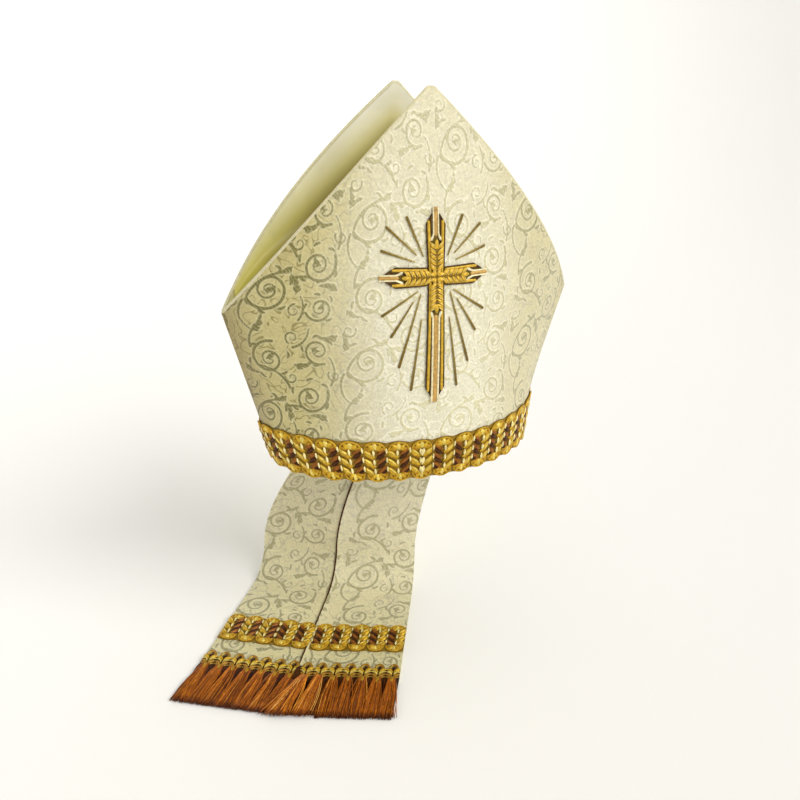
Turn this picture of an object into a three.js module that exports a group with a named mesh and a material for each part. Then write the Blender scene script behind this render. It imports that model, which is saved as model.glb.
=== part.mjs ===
// A bishop's mitre: two stiff brocade panels joined at their side seams, a soft satin lining that
// crosses between the horns, a galloon braid round the rim, an embroidered cross with wheat ears and
// rays on the front, and two lappets that hang from the back of the rim and lie forward at their ends.
// Millimetres, +Z up. The origin is the centre of the rim opening, and the front faces -Y.

import * as THREE from 'three';

// Driving dimensions of the crown
const rimHalfWidth = 113;
const rimHalfDepth = 70;
const sideHeight = 127;
const sideHalfWidth = 148;
const peakHeight = 292;
const peakHalfDepth = 37;
const edgeBow = 8.6;
const peakRound = 5;
const peakFlatShare = 0.94;
const panelWall = 2.6;
const seamGap = 0.3;

// How the oval section changes on the way up: an ellipse at the rim, pointed at the side seams above
const rimPower = 0.5;
const sidePower = 1;
const depthPower = 2.1;

// Driving dimensions of the lining between the horns
const liningWall = 1;
const liningGap = 0.6;
const liningSetback = 1.5;
const liningEndInset = 12;
const liningPower = 4;

// Driving dimensions of the galloon braid
const galloonHeight = 34;
const galloonWall = 2.2;
const galloonEdgeWall = 1.3;
const galloonRepeat = 17;
const galloonScallop = 1.4;
const trimGap = 0.3;

// Driving dimensions of the embroidery on the front
const crossHeight = 162;
const crossArm = 43;
const crossTop = 49;
const crossFoot = 97;
const crossHalfWidth = 6.2;
const crossEndHalfWidth = 8;
const crossEndTaper = 8;
const crossTipHalfWidth = 2.4;
const crossRelief = 1.4;
const earLength = 26;
const earHalfWidth = 5.3;
const earRelief = 1.6;
const earGrains = 6;
const rayHalfWidth = 1.2;
const rayInnerHalfWidth = 0.6;
const rayRelief = 1;
const reliefGap = 0.4;

// Driving dimensions of the lappets. They leave the back of the rim side by side, swing to one side as
// they drop, bend forward at a floor below the rim and lie there. The meeting place is where the line
// between them would reach that floor without the bend
const lappetWall = 1.8;
const lappetTopWidth = 64;
const lappetEndWidth = 86;
const lappetGap = 1.6;
const lappetTuck = 14;
const lappetDrop = 175;
const lappetBend = 32;
const lappetLying = 147;
const lappetTurn = 30;
const meetingAside = -42;
const meetingBack = 53;

// Driving dimensions of the lappets' trim
const headingLength = 21;
const headingOverhang = 2;
const headingToGalloon = 16;
const skirtLength = 39;
const fringeWall = 3.2;
const fringeLocks = 7;
const lockRootShare = 0.55;
const lockGap = 0.8;

const brocade = { color: 0xe4dfbc, roughness: 0.55, metalness: 0 };
const satin = { color: 0xc9c878, roughness: 0.4, metalness: 0 };
const braid = { color: 0xb98a2c, roughness: 0.4, metalness: 0.6 };
const goldThread = { color: 0xc9962f, roughness: 0.35, metalness: 0.6 };
const outlineThread = { color: 0x5a3a14, roughness: 0.5, metalness: 0.1 };
const fringeThread = { color: 0xb4641a, roughness: 0.45, metalness: 0.1 };

const mitre = new THREE.Group();

// Adds a named mesh after moving every corner of a plain geometry to its place on the object
function addBent(name, geometry, place, finish) {
  const corners = geometry.attributes.position;
  const point = new THREE.Vector3();
  for (let i = 0; i < corners.count; i += 1) {
    point.fromBufferAttribute(corners, i);
    const [x, y, z] = place(point.x, point.y, point.z);
    corners.setXYZ(i, x, y, z);
  }
  if (signedVolume(geometry) < 0) {
    turnInsideOut(geometry);
  }
  geometry.computeVertexNormals();
  const mesh = new THREE.Mesh(geometry, new THREE.MeshStandardMaterial(finish));
  mesh.name = name;
  mitre.add(mesh);
}

function signedVolume(geometry) {
  const corners = geometry.attributes.position;
  const order = geometry.index;
  const count = order ? order.count : corners.count;
  const [a, b, c] = [new THREE.Vector3(), new THREE.Vector3(), new THREE.Vector3()];
  let volume = 0;
  for (let i = 0; i < count; i += 3) {
    a.fromBufferAttribute(corners, order ? order.getX(i) : i);
    b.fromBufferAttribute(corners, order ? order.getX(i + 1) : i + 1);
    c.fromBufferAttribute(corners, order ? order.getX(i + 2) : i + 2);
    volume += a.dot(b.cross(c)) / 6;
  }
  return volume;
}

function turnInsideOut(geometry) {
  if (!geometry.index) {
    const count = geometry.attributes.position.count;
    geometry.setIndex([...Array(count).keys()]);
  }
  const order = geometry.index;
  for (let i = 0; i < order.count; i += 3) {
    const second = order.getX(i + 1);
    order.setX(i + 1, order.getX(i + 2));
    order.setX(i + 2, second);
  }
}

// The crown's outer section at a height: half width, half depth and the power that bends the oval
function crownSection(z) {
  const rise = z / sideHeight;
  const low = THREE.MathUtils.clamp(rise, 0, 1);
  return {
    halfWidth: rimHalfWidth + (sideHalfWidth - rimHalfWidth) * rise,
    halfDepth: rimHalfDepth - (rimHalfDepth - peakHalfDepth) * Math.max(z / peakHeight, 0) ** depthPower,
    power: rimPower + (sidePower - rimPower) * low * (2 - low),
  };
}

// Half the crown's depth at a place, with the whole section set in by an inset, or out by a negative one
function crownDepth(x, z, inset) {
  const { halfWidth, halfDepth, power } = crownSection(z);
  const across = Math.min(Math.abs(x) / (halfWidth - inset), 1);
  return (halfDepth - inset) * (1 - across * across) ** power;
}

// The slanted edges of the horns, bowed outwards and rounded at the peak, where a small flat closes them
const hornHeight = peakHeight - sideHeight;
const peakHalfAngle = Math.atan((sideHalfWidth + 4 * edgeBow) / hornHeight);
const roundCentre = peakHeight - peakRound / Math.sin(peakHalfAngle);
const roundStart = roundCentre + peakRound * Math.sin(peakHalfAngle);
const hornTop = roundCentre + peakRound * peakFlatShare;

function hornHalfWidth(z) {
  if (z > roundStart) {
    return Math.sqrt(peakRound ** 2 - (z - roundCentre) ** 2);
  }
  const climb = (z - sideHeight) / hornHeight;
  return sideHalfWidth * (1 - climb) + 4 * edgeBow * climb * (1 - climb);
}

function hornEdgeHeight(x) {
  const away = Math.abs(x);
  if (away < peakRound * Math.cos(peakHalfAngle)) {
    return Math.min(roundCentre + Math.sqrt(peakRound ** 2 - away ** 2), hornTop);
  }
  const straight = sideHalfWidth - 4 * edgeBow;
  const root = Math.sqrt(straight ** 2 + 16 * edgeBow * (sideHalfWidth - away));
  return sideHeight + (hornHeight * 2 * (sideHalfWidth - away)) / (straight + root);
}

// Front and back panels: one wall each, from the rim to the peak
const panelColumns = 24;
const rowsBelowSide = 8;
const rowsAboveSide = 11;
const rowsInRound = 2;
const panelRows = rowsBelowSide + rowsAboveSide + rowsInRound;

function panelRowHeight(row) {
  if (row <= rowsBelowSide) {
    return (sideHeight * row) / rowsBelowSide;
  }
  const above = row - rowsBelowSide;
  if (above <= rowsAboveSide) {
    return sideHeight + ((roundStart - sideHeight) * above) / rowsAboveSide;
  }
  return roundStart + ((hornTop - roundStart) * (above - rowsAboveSide)) / rowsInRound;
}

function panelPoint(side, across, row, outer) {
  const z = panelRowHeight(row);
  const inset = outer ? 0 : panelWall;
  const seamHalfWidth = crownSection(z).halfWidth - inset;
  const halfWidth = z < sideHeight ? seamHalfWidth : Math.min(seamHalfWidth, hornHalfWidth(z));
  const x = halfWidth * Math.sin((across * Math.PI) / 2);
  const y = Math.max(crownDepth(x, z, inset), seamGap / 2);
  return [x, side * y, z];
}

function addPanel(name, side) {
  const slab = new THREE.BoxGeometry(2, panelRows, 1, panelColumns, panelRows, 1);
  slab.translate(0, panelRows / 2, 0);
  addBent(name, slab, (across, row, layer) => panelPoint(side, across, Math.round(row), layer > 0), brocade);
}

addPanel('front_panel', -1);
addPanel('back_panel', 1);

// The lining covers the inside of both horns and crosses between them in a trough. Its cloth is as
// long on each side as the horn is high there, so the trough's floor lies half a width above the sides
const liningColumns = 20;
const liningRows = 12;
const liningInset = panelWall + liningGap;
const liningHalfWidth = sideHalfWidth - liningEndInset;

function troughFloor(x) {
  const first = crownDepth(x, sideHeight, liningInset);
  return sideHeight + crownDepth(x, sideHeight + first, liningInset);
}

function liningPoint(along, across, inner) {
  const x = liningHalfWidth * Math.sin((along * Math.PI) / 2);
  const wall = inner ? liningWall : 0;
  const top = hornEdgeHeight(x) - liningSetback;
  const floor = troughFloor(x) + wall;
  const turn = (Math.abs(across) * Math.PI) / 2;
  const out = Math.sin(turn) ** (2 / liningPower);
  const down = Math.max(Math.cos(turn), 0) ** (2 / liningPower);
  const z = top - (top - floor) * down;
  return [x, Math.sign(across) * out * crownDepth(x, z, liningInset + wall), z];
}

const liningSlab = new THREE.BoxGeometry(2, 2, 1, liningColumns, liningRows, 1);
addBent('crown_lining', liningSlab, (along, across, layer) => liningPoint(along, across, layer > 0), satin);

// The galloon's lobes run evenly round the rim, so their place is found by arc length
const rimSteps = 720;
const rimLengths = [0];
for (let i = 1; i <= rimSteps; i += 1) {
  const before = (2 * Math.PI * (i - 1)) / rimSteps;
  const here = (2 * Math.PI * i) / rimSteps;
  const dx = rimHalfWidth * (Math.sin(here) - Math.sin(before));
  const dy = rimHalfDepth * (Math.cos(here) - Math.cos(before));
  rimLengths.push(rimLengths[i - 1] + Math.hypot(dx, dy));
}
const rimLength = rimLengths[rimSteps];

function rimAngle(share) {
  const target = share * rimLength;
  let i = 1;
  while (i < rimSteps && rimLengths[i] < target) {
    i += 1;
  }
  const part = (target - rimLengths[i - 1]) / (rimLengths[i] - rimLengths[i - 1]);
  return (2 * Math.PI * (i - 1 + part)) / rimSteps;
}

// A lobe's edge stands proud at its middle and drops back at each end of the repeat
function scallop(repeats) {
  return galloonScallop * (1 - Math.abs(Math.sin(Math.PI * repeats)));
}

// The six corners of the braid's section: how far out, and which share of its height
const galloonCorners = [
  { out: 0, up: 0 },
  { out: galloonEdgeWall, up: 0 },
  { out: galloonWall, up: 0.2 },
  { out: galloonWall, up: 0.8 },
  { out: galloonEdgeWall, up: 1 },
  { out: 0, up: 1 },
];

const rimRepeats = Math.round(rimLength / galloonRepeat);
const stepsInRepeat = 4;

function addBaseGalloon() {
  const columns = rimRepeats * stepsInRepeat;
  const ring = new THREE.TorusGeometry(2, 1, galloonCorners.length, columns);
  const place = (x, y, z) => {
    const share = (Math.atan2(y, x) / (2 * Math.PI) + 1) % 1;
    const tube = Math.atan2(z, Math.hypot(x, y) - 2) / (2 * Math.PI);
    const corner = galloonCorners[Math.round((tube + 1) * galloonCorners.length) % galloonCorners.length];
    const dip = scallop(share * rimRepeats);
    const height = dip + (galloonHeight - 2 * dip) * corner.up;
    const angle = rimAngle(share);
    const { halfWidth, halfDepth, power } = crownSection(height);
    const out = trimGap + corner.out;
    const depth = (halfDepth + out) * Math.abs(Math.cos(angle)) ** (2 * power);
    return [(halfWidth + out) * Math.sin(angle), -Math.sign(Math.cos(angle)) * depth, height];
  };
  addBent('base_galloon', ring, place, braid);
}

addBaseGalloon();

// A raised strip of embroidery on the front panel between two places on it. Its half width and height
// change along it, topShare is how wide its top is, and edgeShare how high the top's edges are
function addStrip(name, strip) {
  const slab = new THREE.BoxGeometry(2, 1, 1, 2, strip.steps, 1);
  slab.translate(0, 0.5, 0);
  const direction = new THREE.Vector2().subVectors(strip.end, strip.start);
  const length = direction.length();
  direction.normalize();
  const place = (across, share, layer) => {
    const along = share * length;
    const raised = layer > 0;
    const reach = across * strip.halfWidth(along, length) * (raised ? strip.topShare : 1);
    const x = strip.start.x + direction.x * along + direction.y * reach;
    const z = strip.start.y + direction.y * along - direction.x * reach;
    const crest = across === 0 ? 1 : strip.edgeShare;
    const out = strip.base + (raised ? strip.height * crest : 0);
    return [x, -crownDepth(x, z, -out), z];
  };
  addBent(name, slab, place, strip.finish);
}

// A bar of the cross widens towards its end and closes there in a blunt point
function barHalfWidth(fromCrossing, reach) {
  const widened = THREE.MathUtils.lerp(crossHalfWidth, crossEndHalfWidth, fromCrossing / reach);
  const closing = THREE.MathUtils.clamp((reach - fromCrossing) / crossEndTaper, 0, 1);
  return THREE.MathUtils.lerp(crossTipHalfWidth, widened, closing);
}

const bar = { base: reliefGap, height: crossRelief, topShare: 0.9, edgeShare: 1, finish: outlineThread };

addStrip('cross_stem', {
  ...bar,
  start: new THREE.Vector2(0, crossHeight - crossFoot),
  end: new THREE.Vector2(0, crossHeight + crossTop),
  steps: 18,
  halfWidth: (along) => {
    const above = along - crossFoot;
    return barHalfWidth(Math.abs(above), above > 0 ? crossTop : crossFoot);
  },
});

const armStart = crossHalfWidth + 2 * trimGap;
for (const [name, side] of [['cross_arm_left', -1], ['cross_arm_right', 1]]) {
  addStrip(name, {
    ...bar,
    start: new THREE.Vector2(side * armStart, crossHeight),
    end: new THREE.Vector2(side * crossArm, crossHeight),
    steps: 5,
    halfWidth: (along) => barHalfWidth(armStart + along, crossArm),
  });
}

// Four wheat ears lie on the cross and meet in points at its middle. Each grain stands out at its side
const earStart = 1;
const grainDip = 0.8;
const earTipShare = 0.3;

function earHalfWidthAt(along, length) {
  const grainEnd = Math.round((2 * earGrains * along) / length) % 2;
  const grain = earHalfWidth * (grainEnd ? 1 : grainDip);
  const tip = Math.min((length - along) / earHalfWidth + earTipShare, 1);
  return Math.min(grain * tip, along + earStart - trimGap);
}

const earDirections = [
  ['ear_top', 0, 1],
  ['ear_foot', 0, -1],
  ['ear_left', -1, 0],
  ['ear_right', 1, 0],
];
for (const [name, x, z] of earDirections) {
  addStrip(name, {
    start: new THREE.Vector2(x * earStart, crossHeight + z * earStart),
    end: new THREE.Vector2(x * earLength, crossHeight + z * earLength),
    steps: 2 * earGrains,
    halfWidth: earHalfWidthAt,
    base: reliefGap + crossRelief + trimGap,
    height: earRelief,
    topShare: 0.7,
    edgeShare: 0.6,
    finish: goldThread,
  });
}

// The rays stand round the cross, alike on both sides. Places are from the crossing, as shares of the
// arm's length across, and of the top's or the foot's length up or down
const rays = [
  { innerAcross: 0.22, innerUp: 0.29, outerAcross: 0.51, outerUp: 0.88 },
  { innerAcross: 0.34, innerUp: 0.32, outerAcross: 0.86, outerUp: 0.74 },
  { innerAcross: 0.37, innerUp: 0.225, outerAcross: 0.96, outerUp: 0.4 },
  { innerAcross: 0.32, innerUp: -0.105, outerAcross: 0.96, outerUp: -0.29 },
  { innerAcross: 0.4, innerUp: -0.18, outerAcross: 0.8, outerUp: -0.455 },
  { innerAcross: 0.27, innerUp: -0.125, outerAcross: 0.66, outerUp: -0.7 },
  { innerAcross: 0.26, innerUp: -0.32, outerAcross: 0.44, outerUp: -0.89 },
];

function rayEnd(side, across, up) {
  return new THREE.Vector2(side * across * crossArm, crossHeight + up * (up > 0 ? crossTop : crossFoot));
}

let rayCount = 0;
for (const side of [-1, 1]) {
  for (const ray of rays) {
    rayCount += 1;
    addStrip(`ray_${String(rayCount).padStart(2, '0')}`, {
      start: rayEnd(side, ray.innerAcross, ray.innerUp),
      end: rayEnd(side, ray.outerAcross, ray.outerUp),
      steps: 4,
      halfWidth: (along, length) => THREE.MathUtils.lerp(rayInnerHalfWidth, rayHalfWidth, along / length),
      base: reliefGap,
      height: rayRelief,
      topShare: 0.6,
      edgeShare: 0.7,
      finish: goldThread,
    });
  }
}

// Each lappet's middle surface, by how far along it a place is from its tucked top, and how far across
// it from -1 to 1. The ruling is the direction of its width once it has swung round
// The swing power makes the lappets turn a little sooner than evenly
const lappets = [
  { side: 'left', sign: -1, ruling: 28.5 },
  { side: 'right', sign: 1, ruling: 20 },
];
const swingPower = 0.85;
const hangHeight = lappetDrop - lappetWall / 2 - lappetBend;
const hangEnd = lappetTuck + hangHeight;
const bendEnd = hangEnd + (lappetBend * Math.PI) / 2;
const lappetLength = bendEnd + lappetLying - lappetBend;
const lappetTaper = Math.atan((lappetEndWidth - lappetTopWidth) / 2 / lappetLength);

function lappetHalfWidth(along) {
  return THREE.MathUtils.lerp(lappetTopWidth, lappetEndWidth, along / lappetLength) / 2;
}

function lappetMiddle(lappet, along, across) {
  const halfWidth = lappetHalfWidth(along);
  const ruling = THREE.MathUtils.degToRad(lappet.ruling);
  const turn = THREE.MathUtils.degToRad(lappetTurn) - lappet.sign * lappetTaper;
  const bend = THREE.MathUtils.clamp((along - hangEnd) / lappetBend, 0, Math.PI / 2);
  const forward = lappetBend * (1 - Math.cos(bend)) + Math.max(along - bendEnd, 0);
  const fromMeeting = lappet.sign * (lappetHalfWidth(hangEnd) + lappetGap / 2) + across * halfWidth;
  const swungX = meetingAside + Math.cos(ruling) * fromMeeting;
  const swungY = meetingBack - Math.sin(ruling) * fromMeeting;
  if (along > hangEnd) {
    const z = lappetWall / 2 - lappetDrop + lappetBend * (1 - Math.sin(bend));
    return new THREE.Vector3(swungX - Math.sin(turn) * forward, swungY - Math.cos(turn) * forward, z);
  }
  const z = lappetTuck - along;
  const swung = THREE.MathUtils.smoothstep(Math.max(-z / hangHeight, 0) ** swingPower, 0, 1);
  const rimX = lappet.sign * (halfWidth + lappetGap / 2) + across * halfWidth;
  const rimY = crownDepth(rimX, Math.max(z, 0), panelWall + liningGap + lappetWall / 2);
  const x = THREE.MathUtils.lerp(rimX, swungX, swung);
  const y = THREE.MathUtils.lerp(rimY, swungY, swung);
  return new THREE.Vector3(x, y, z);
}

// A place off the middle surface, on the side that lies uppermost at the lappet's end. The surface's
// slope is taken over short steps
const slopeStepAlong = 0.5;
const slopeStepAcross = 0.05;

function lappetPoint(lappet, along, across, height) {
  const middle = lappetMiddle(lappet, along, across);
  const further = lappetMiddle(lappet, along + slopeStepAlong, across);
  const nearer = lappetMiddle(lappet, along - slopeStepAlong, across);
  const right = lappetMiddle(lappet, along, across + slopeStepAcross);
  const left = lappetMiddle(lappet, along, across - slopeStepAcross);
  const normal = further.sub(nearer).cross(right.sub(left)).normalize();
  return middle.addScaledVector(normal, height).toArray();
}

const lappetColumns = 6;
const lappetRows = 30;

function addLappet(lappet) {
  const slab = new THREE.BoxGeometry(2, lappetLength, lappetWall, lappetColumns, lappetRows, 1);
  slab.translate(0, lappetLength / 2, 0);
  const place = (across, along, height) => lappetPoint(lappet, along, across, height);
  addBent(`lappet_${lappet.side}`, slab, place, brocade);
}

// The trim lies on the lappet's upper side: the galloon, then a plain stretch, then the fringe's heading
const trimLift = lappetWall / 2 + trimGap;
const headingStart = lappetLength + headingOverhang - headingLength;
const galloonStart = headingStart - headingToGalloon - galloonHeight;
const lappetRepeats = Math.round(lappetEndWidth / galloonRepeat);

function addLappetGalloon(lappet) {
  const columns = lappetRepeats * stepsInRepeat;
  const slab = new THREE.BoxGeometry(2, 2, 1, columns, 2, 1);
  const place = (across, edge, layer) => {
    const dip = scallop(((across + 1) / 2) * lappetRepeats);
    const along = galloonStart + galloonHeight / 2 + edge * (galloonHeight / 2 - dip);
    const wall = edge === 0 ? galloonWall : galloonEdgeWall;
    return lappetPoint(lappet, along, across, trimLift + (layer > 0 ? wall : 0));
  };
  addBent(`lappet_galloon_${lappet.side}`, slab, place, braid);
}

// The fringe is a looped heading with locks of thread below it, which start apart and widen until they
// almost meet. Their ends come down to the floor that the lappet lies on
function fringeOutline() {
  const outline = new THREE.Shape();
  const pitch = 2 / fringeLocks;
  const gap = lockGap / (lappetEndWidth / 2);
  const [rootEnd, skirtEnd] = [headingLength, headingLength + skirtLength];
  outline.moveTo(-1, 0);
  outline.lineTo(1, 0);
  outline.lineTo(1, rootEnd);
  for (let lock = fringeLocks; lock >= 1; lock -= 1) {
    const middle = -1 + pitch * (lock - 0.5);
    const root = (pitch / 2) * lockRootShare;
    const tip = (pitch - gap) / 2;
    outline.lineTo(middle + root, rootEnd);
    outline.lineTo(middle + tip, skirtEnd);
    outline.lineTo(middle - tip, skirtEnd);
    outline.lineTo(middle - root, rootEnd);
  }
  outline.lineTo(-1, rootEnd);
  return outline;
}

function addFringe(lappet) {
  const comb = new THREE.ExtrudeGeometry(fringeOutline(), { depth: fringeWall, bevelEnabled: false });
  const place = (across, along, height) => {
    const lowered = along > headingLength ? lappetWall + trimGap : 0;
    return lappetPoint(lappet, headingStart + along, across, trimLift + height - lowered);
  };
  addBent(`lappet_fringe_${lappet.side}`, comb, place, fringeThread);
}

for (const lappet of lappets) {
  addLappet(lappet);
  addLappetGalloon(lappet);
  addFringe(lappet);
}

export default mitre;
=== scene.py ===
# %% [markdown]
# # A bishop's mitre in Blender
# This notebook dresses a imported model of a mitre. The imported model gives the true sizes. Here each
# plain solid gets its cloth, its braid, its stitches or its threads. Lengths are in metres, as Blender
# counts them, and MM turns a maker's millimetres into them.

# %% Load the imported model
import functools
import math

import bpy
import numpy as np
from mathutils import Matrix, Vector


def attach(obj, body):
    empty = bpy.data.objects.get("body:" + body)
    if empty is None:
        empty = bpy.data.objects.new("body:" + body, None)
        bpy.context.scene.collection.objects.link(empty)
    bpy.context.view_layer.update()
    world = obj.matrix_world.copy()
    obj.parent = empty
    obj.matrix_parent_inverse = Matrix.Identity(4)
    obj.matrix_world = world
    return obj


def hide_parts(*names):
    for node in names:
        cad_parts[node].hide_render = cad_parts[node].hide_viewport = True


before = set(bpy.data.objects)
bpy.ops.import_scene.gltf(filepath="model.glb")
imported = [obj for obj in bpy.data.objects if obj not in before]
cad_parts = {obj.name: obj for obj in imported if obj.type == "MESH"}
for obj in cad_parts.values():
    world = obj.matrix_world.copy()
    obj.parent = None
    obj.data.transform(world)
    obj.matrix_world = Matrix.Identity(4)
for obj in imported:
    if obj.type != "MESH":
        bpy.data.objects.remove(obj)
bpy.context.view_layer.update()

bpy.ops.object.select_all(action="DESELECT")
MM = 0.001
print("Packed solids:", len(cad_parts))

# %% [markdown]
# ## The camera
# The camera stands to the left of the cross and looks down a little, as a person does who stands close
# to the mitre. Its place and turn come first, because they decide which details are worth making.

# %% Camera
camera_place = (-224.8 * MM, -585.9 * MM, 315.5 * MM)
camera_turn = (66.04, -1.61, -20.12)
camera_lens = 35.93
sensor_width = 36.0

bpy.ops.object.camera_add(
    location=camera_place, rotation=[math.radians(angle) for angle in camera_turn]
)
camera = bpy.context.active_object
camera.data.lens = camera_lens
camera.data.sensor_width = sensor_width
camera.data.clip_start = 0.01
bpy.context.scene.camera = camera
print("Camera at", camera_place, "with a lens of", camera_lens, "mm")

# %% [markdown]
# ## The crown's form
# A mitre is two stiff panels that meet at side seams. At the rim its section is an oval, round a head.
# Higher up the section is pointed at the seams, because two flat boards are only bowed there. One
# formula bends the oval into the pointed shape, so cloth, braid and stitches can all follow it.

# %% Sizes of the crown
rim_half_width = 113 * MM
rim_half_depth = 70 * MM
side_height = 127 * MM
side_half_width = 148 * MM
peak_height = 292 * MM
peak_half_depth = 37 * MM
edge_bow = 8.6 * MM
peak_round = 5 * MM
peak_flat_share = 0.94
panel_wall = 2.6 * MM
seam_gap = 0.3 * MM
rim_power = 0.5
side_power = 1.0
depth_power = 2.1

horn_height = peak_height - side_height
peak_half_angle = math.atan((side_half_width + 4 * edge_bow) / horn_height)
round_centre = peak_height - peak_round / math.sin(peak_half_angle)
horn_top = round_centre + peak_round * peak_flat_share
print("The horns' tops are", round(horn_top / MM, 1), "mm above the rim")


# %% The crown as a formula
def section_rise(z):
    """From 0 at the rim to 1 at the side points: how far the oval has turned into a pointed shape."""
    low = np.clip(z / side_height, 0, 1)
    return low * (2 - low)


def crown_section(z):
    """Half width, half depth and bending power of the crown's section at a height."""
    half_width = rim_half_width + (side_half_width - rim_half_width) * z / side_height
    narrowing = np.maximum(z / peak_height, 0) ** depth_power
    half_depth = rim_half_depth - (rim_half_depth - peak_half_depth) * narrowing
    return half_width, half_depth, rim_power + (side_power - rim_power) * section_rise(z)


def crown_depth(x, z, inset=0.0):
    """Half the crown's depth at a place, with the section set in, or out by a negative inset."""
    half_width, half_depth, power = crown_section(z)
    across = np.minimum(np.abs(x) / (half_width - inset), 1)
    return (half_depth - inset) * (1 - across**2) ** power


def horn_edge_height(x):
    """Height of a horn's slanted edge, which is bowed outwards and rounded at the peak."""
    away = np.abs(x)
    straight = side_half_width - 4 * edge_bow
    aside = np.maximum(side_half_width - away, 0)
    root = np.sqrt(straight**2 + 16 * edge_bow * aside)
    slanted = side_height + horn_height * 2 * aside / (straight + root)
    in_round = np.maximum(peak_round**2 - away**2, 0)
    rounded = np.minimum(round_centre + np.sqrt(in_round), horn_top)
    return np.where(away < peak_round * math.cos(peak_half_angle), rounded, slanted)


# %% [markdown]
# ## Meshes from grids and rings
# Cloth starts as Blender's grid primitive, whose points are then moved onto the crown, as a tailor
# bends flat cloth round a form. Cords, petals and threads are lofts: a row of rings joined by faces.
# Both ways keep the faces even, so bump and light run smoothly over them.

# %% Helpers for shapes
def unselect_all():
    """Leaves nothing selected, because an operator acts on all that is."""
    bpy.ops.object.select_all(action="DESELECT")


def finish_normals(piece, smooth_angle=50):
    """Turns all faces outwards and shades them smooth, apart from edges sharper than an angle."""
    unselect_all()
    bpy.context.view_layer.objects.active = piece
    piece.select_set(True)
    bpy.ops.object.mode_set(mode="EDIT")
    bpy.ops.mesh.select_all(action="SELECT")
    bpy.ops.mesh.normals_make_consistent(inside=False)
    bpy.ops.object.mode_set(mode="OBJECT")
    bpy.ops.object.shade_smooth_by_angle(angle=math.radians(smooth_angle))
    piece.select_set(False)


# %% Helpers for points and what they carry
def points_of(piece):
    """All the points of a mesh, one row for each."""
    points = np.zeros(len(piece.data.vertices) * 3)
    piece.data.vertices.foreach_get("co", points)
    return points.reshape(-1, 3)


def move_points(piece, points):
    """Puts the points of a mesh at new places."""
    piece.data.vertices.foreach_set("co", np.asarray(points, float).ravel())
    piece.data.update()


def set_point_value(piece, name, values):
    """Keeps a number for each point of a mesh, or one for all, which a material can read by its name."""
    attribute = piece.data.attributes.new(name, "FLOAT", "POINT")
    spread = np.broadcast_to(np.asarray(values, np.float32), len(piece.data.vertices))
    attribute.data.foreach_set("value", spread.copy())


def set_uv(piece, across, along):
    """Gives each point its place on the flat cloth, in metres, as the piece's UV map."""
    layer = piece.data.uv_layers.active or piece.data.uv_layers.new(name="UVMap")
    corners = np.zeros(len(piece.data.loops), np.int32)
    piece.data.loops.foreach_get("vertex_index", corners)
    layer.data.foreach_set("uv", np.stack([across, along], -1)[corners].ravel())


def bent_grid(name, columns, rows, place):
    """Adds a grid from -1 to 1 across and 0 to 1 along, and moves its points to place(across, along)."""
    bpy.ops.mesh.primitive_grid_add(x_subdivisions=columns, y_subdivisions=rows, size=2)
    piece = bpy.context.active_object
    piece.name = name
    flat = points_of(piece)
    across = np.clip(flat[:, 0], -1, 1)
    along = np.clip((flat[:, 1] + 1) / 2, 0, 1)
    move_points(piece, np.stack(place(across, along), -1))
    piece.select_set(False)
    return piece, across, along


# %% Helpers for lofts and joined meshes
def loft(rings):
    """Corner points and faces of a skin over rings of points, closed at both ends."""
    rings = np.asarray(rings, float)
    count, sides = rings.shape[:2]
    order = np.arange(count * sides).reshape(count, sides)
    nearer, further = order[:-1], order[1:]
    walls = np.stack([nearer, np.roll(nearer, -1, 1), np.roll(further, -1, 1), further], -1)
    faces = walls.reshape(-1, 4).tolist()
    faces.append(order[0][::-1].tolist())
    faces.append(order[-1].tolist())
    return rings.reshape(-1, 3), faces


def joined(name, shapes):
    """One mesh from many shapes, each given as corner points, faces and a tone for its material."""
    all_points, all_faces, all_tones, first = [], [], [], 0
    for points, faces, tone in shapes:
        all_points.append(points)
        all_tones.append(np.broadcast_to(tone, len(points)))
        all_faces.extend([[corner + first for corner in face] for face in faces])
        first += len(points)
    mesh = bpy.data.meshes.new(name)
    mesh.from_pydata(np.concatenate(all_points).tolist(), [], all_faces)
    piece = bpy.data.objects.new(name, mesh)
    bpy.context.scene.collection.objects.link(piece)
    set_point_value(piece, "tone", np.concatenate(all_tones))
    finish_normals(piece)
    return piece


def join_into(kept, *others):
    """Joins other pieces into one, whose points keep their order and come first."""
    unselect_all()
    for piece in (kept, *others):
        piece.select_set(True)
    bpy.context.view_layer.objects.active = kept
    bpy.ops.object.join()


# %% Helpers for closed shells and for what each piece stands for
def bridge_walls(piece):
    """Makes a closed shell of two walls, with a strip of faces between their open edges."""
    bpy.context.view_layer.objects.active = piece
    bpy.ops.object.mode_set(mode="EDIT")
    bpy.ops.mesh.select_mode(type="EDGE")
    bpy.ops.mesh.select_all(action="DESELECT")
    bpy.ops.mesh.select_non_manifold(
        extend=False, use_wire=False, use_multi_face=False, use_non_contiguous=False, use_verts=False
    )
    bpy.ops.mesh.bridge_edge_loops()
    bpy.ops.object.mode_set(mode="OBJECT")
    piece.select_set(False)


def dress(piece, slot, node, *finishes):
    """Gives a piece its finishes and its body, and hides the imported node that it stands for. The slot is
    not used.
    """
    for finish in finishes:
        piece.data.materials.append(finish)
    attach(piece, "root")
    if node:
        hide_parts(node)
    piece.data.calc_loop_triangles()
    print(piece.name, "has", len(piece.data.loop_triangles), "triangles")
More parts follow.
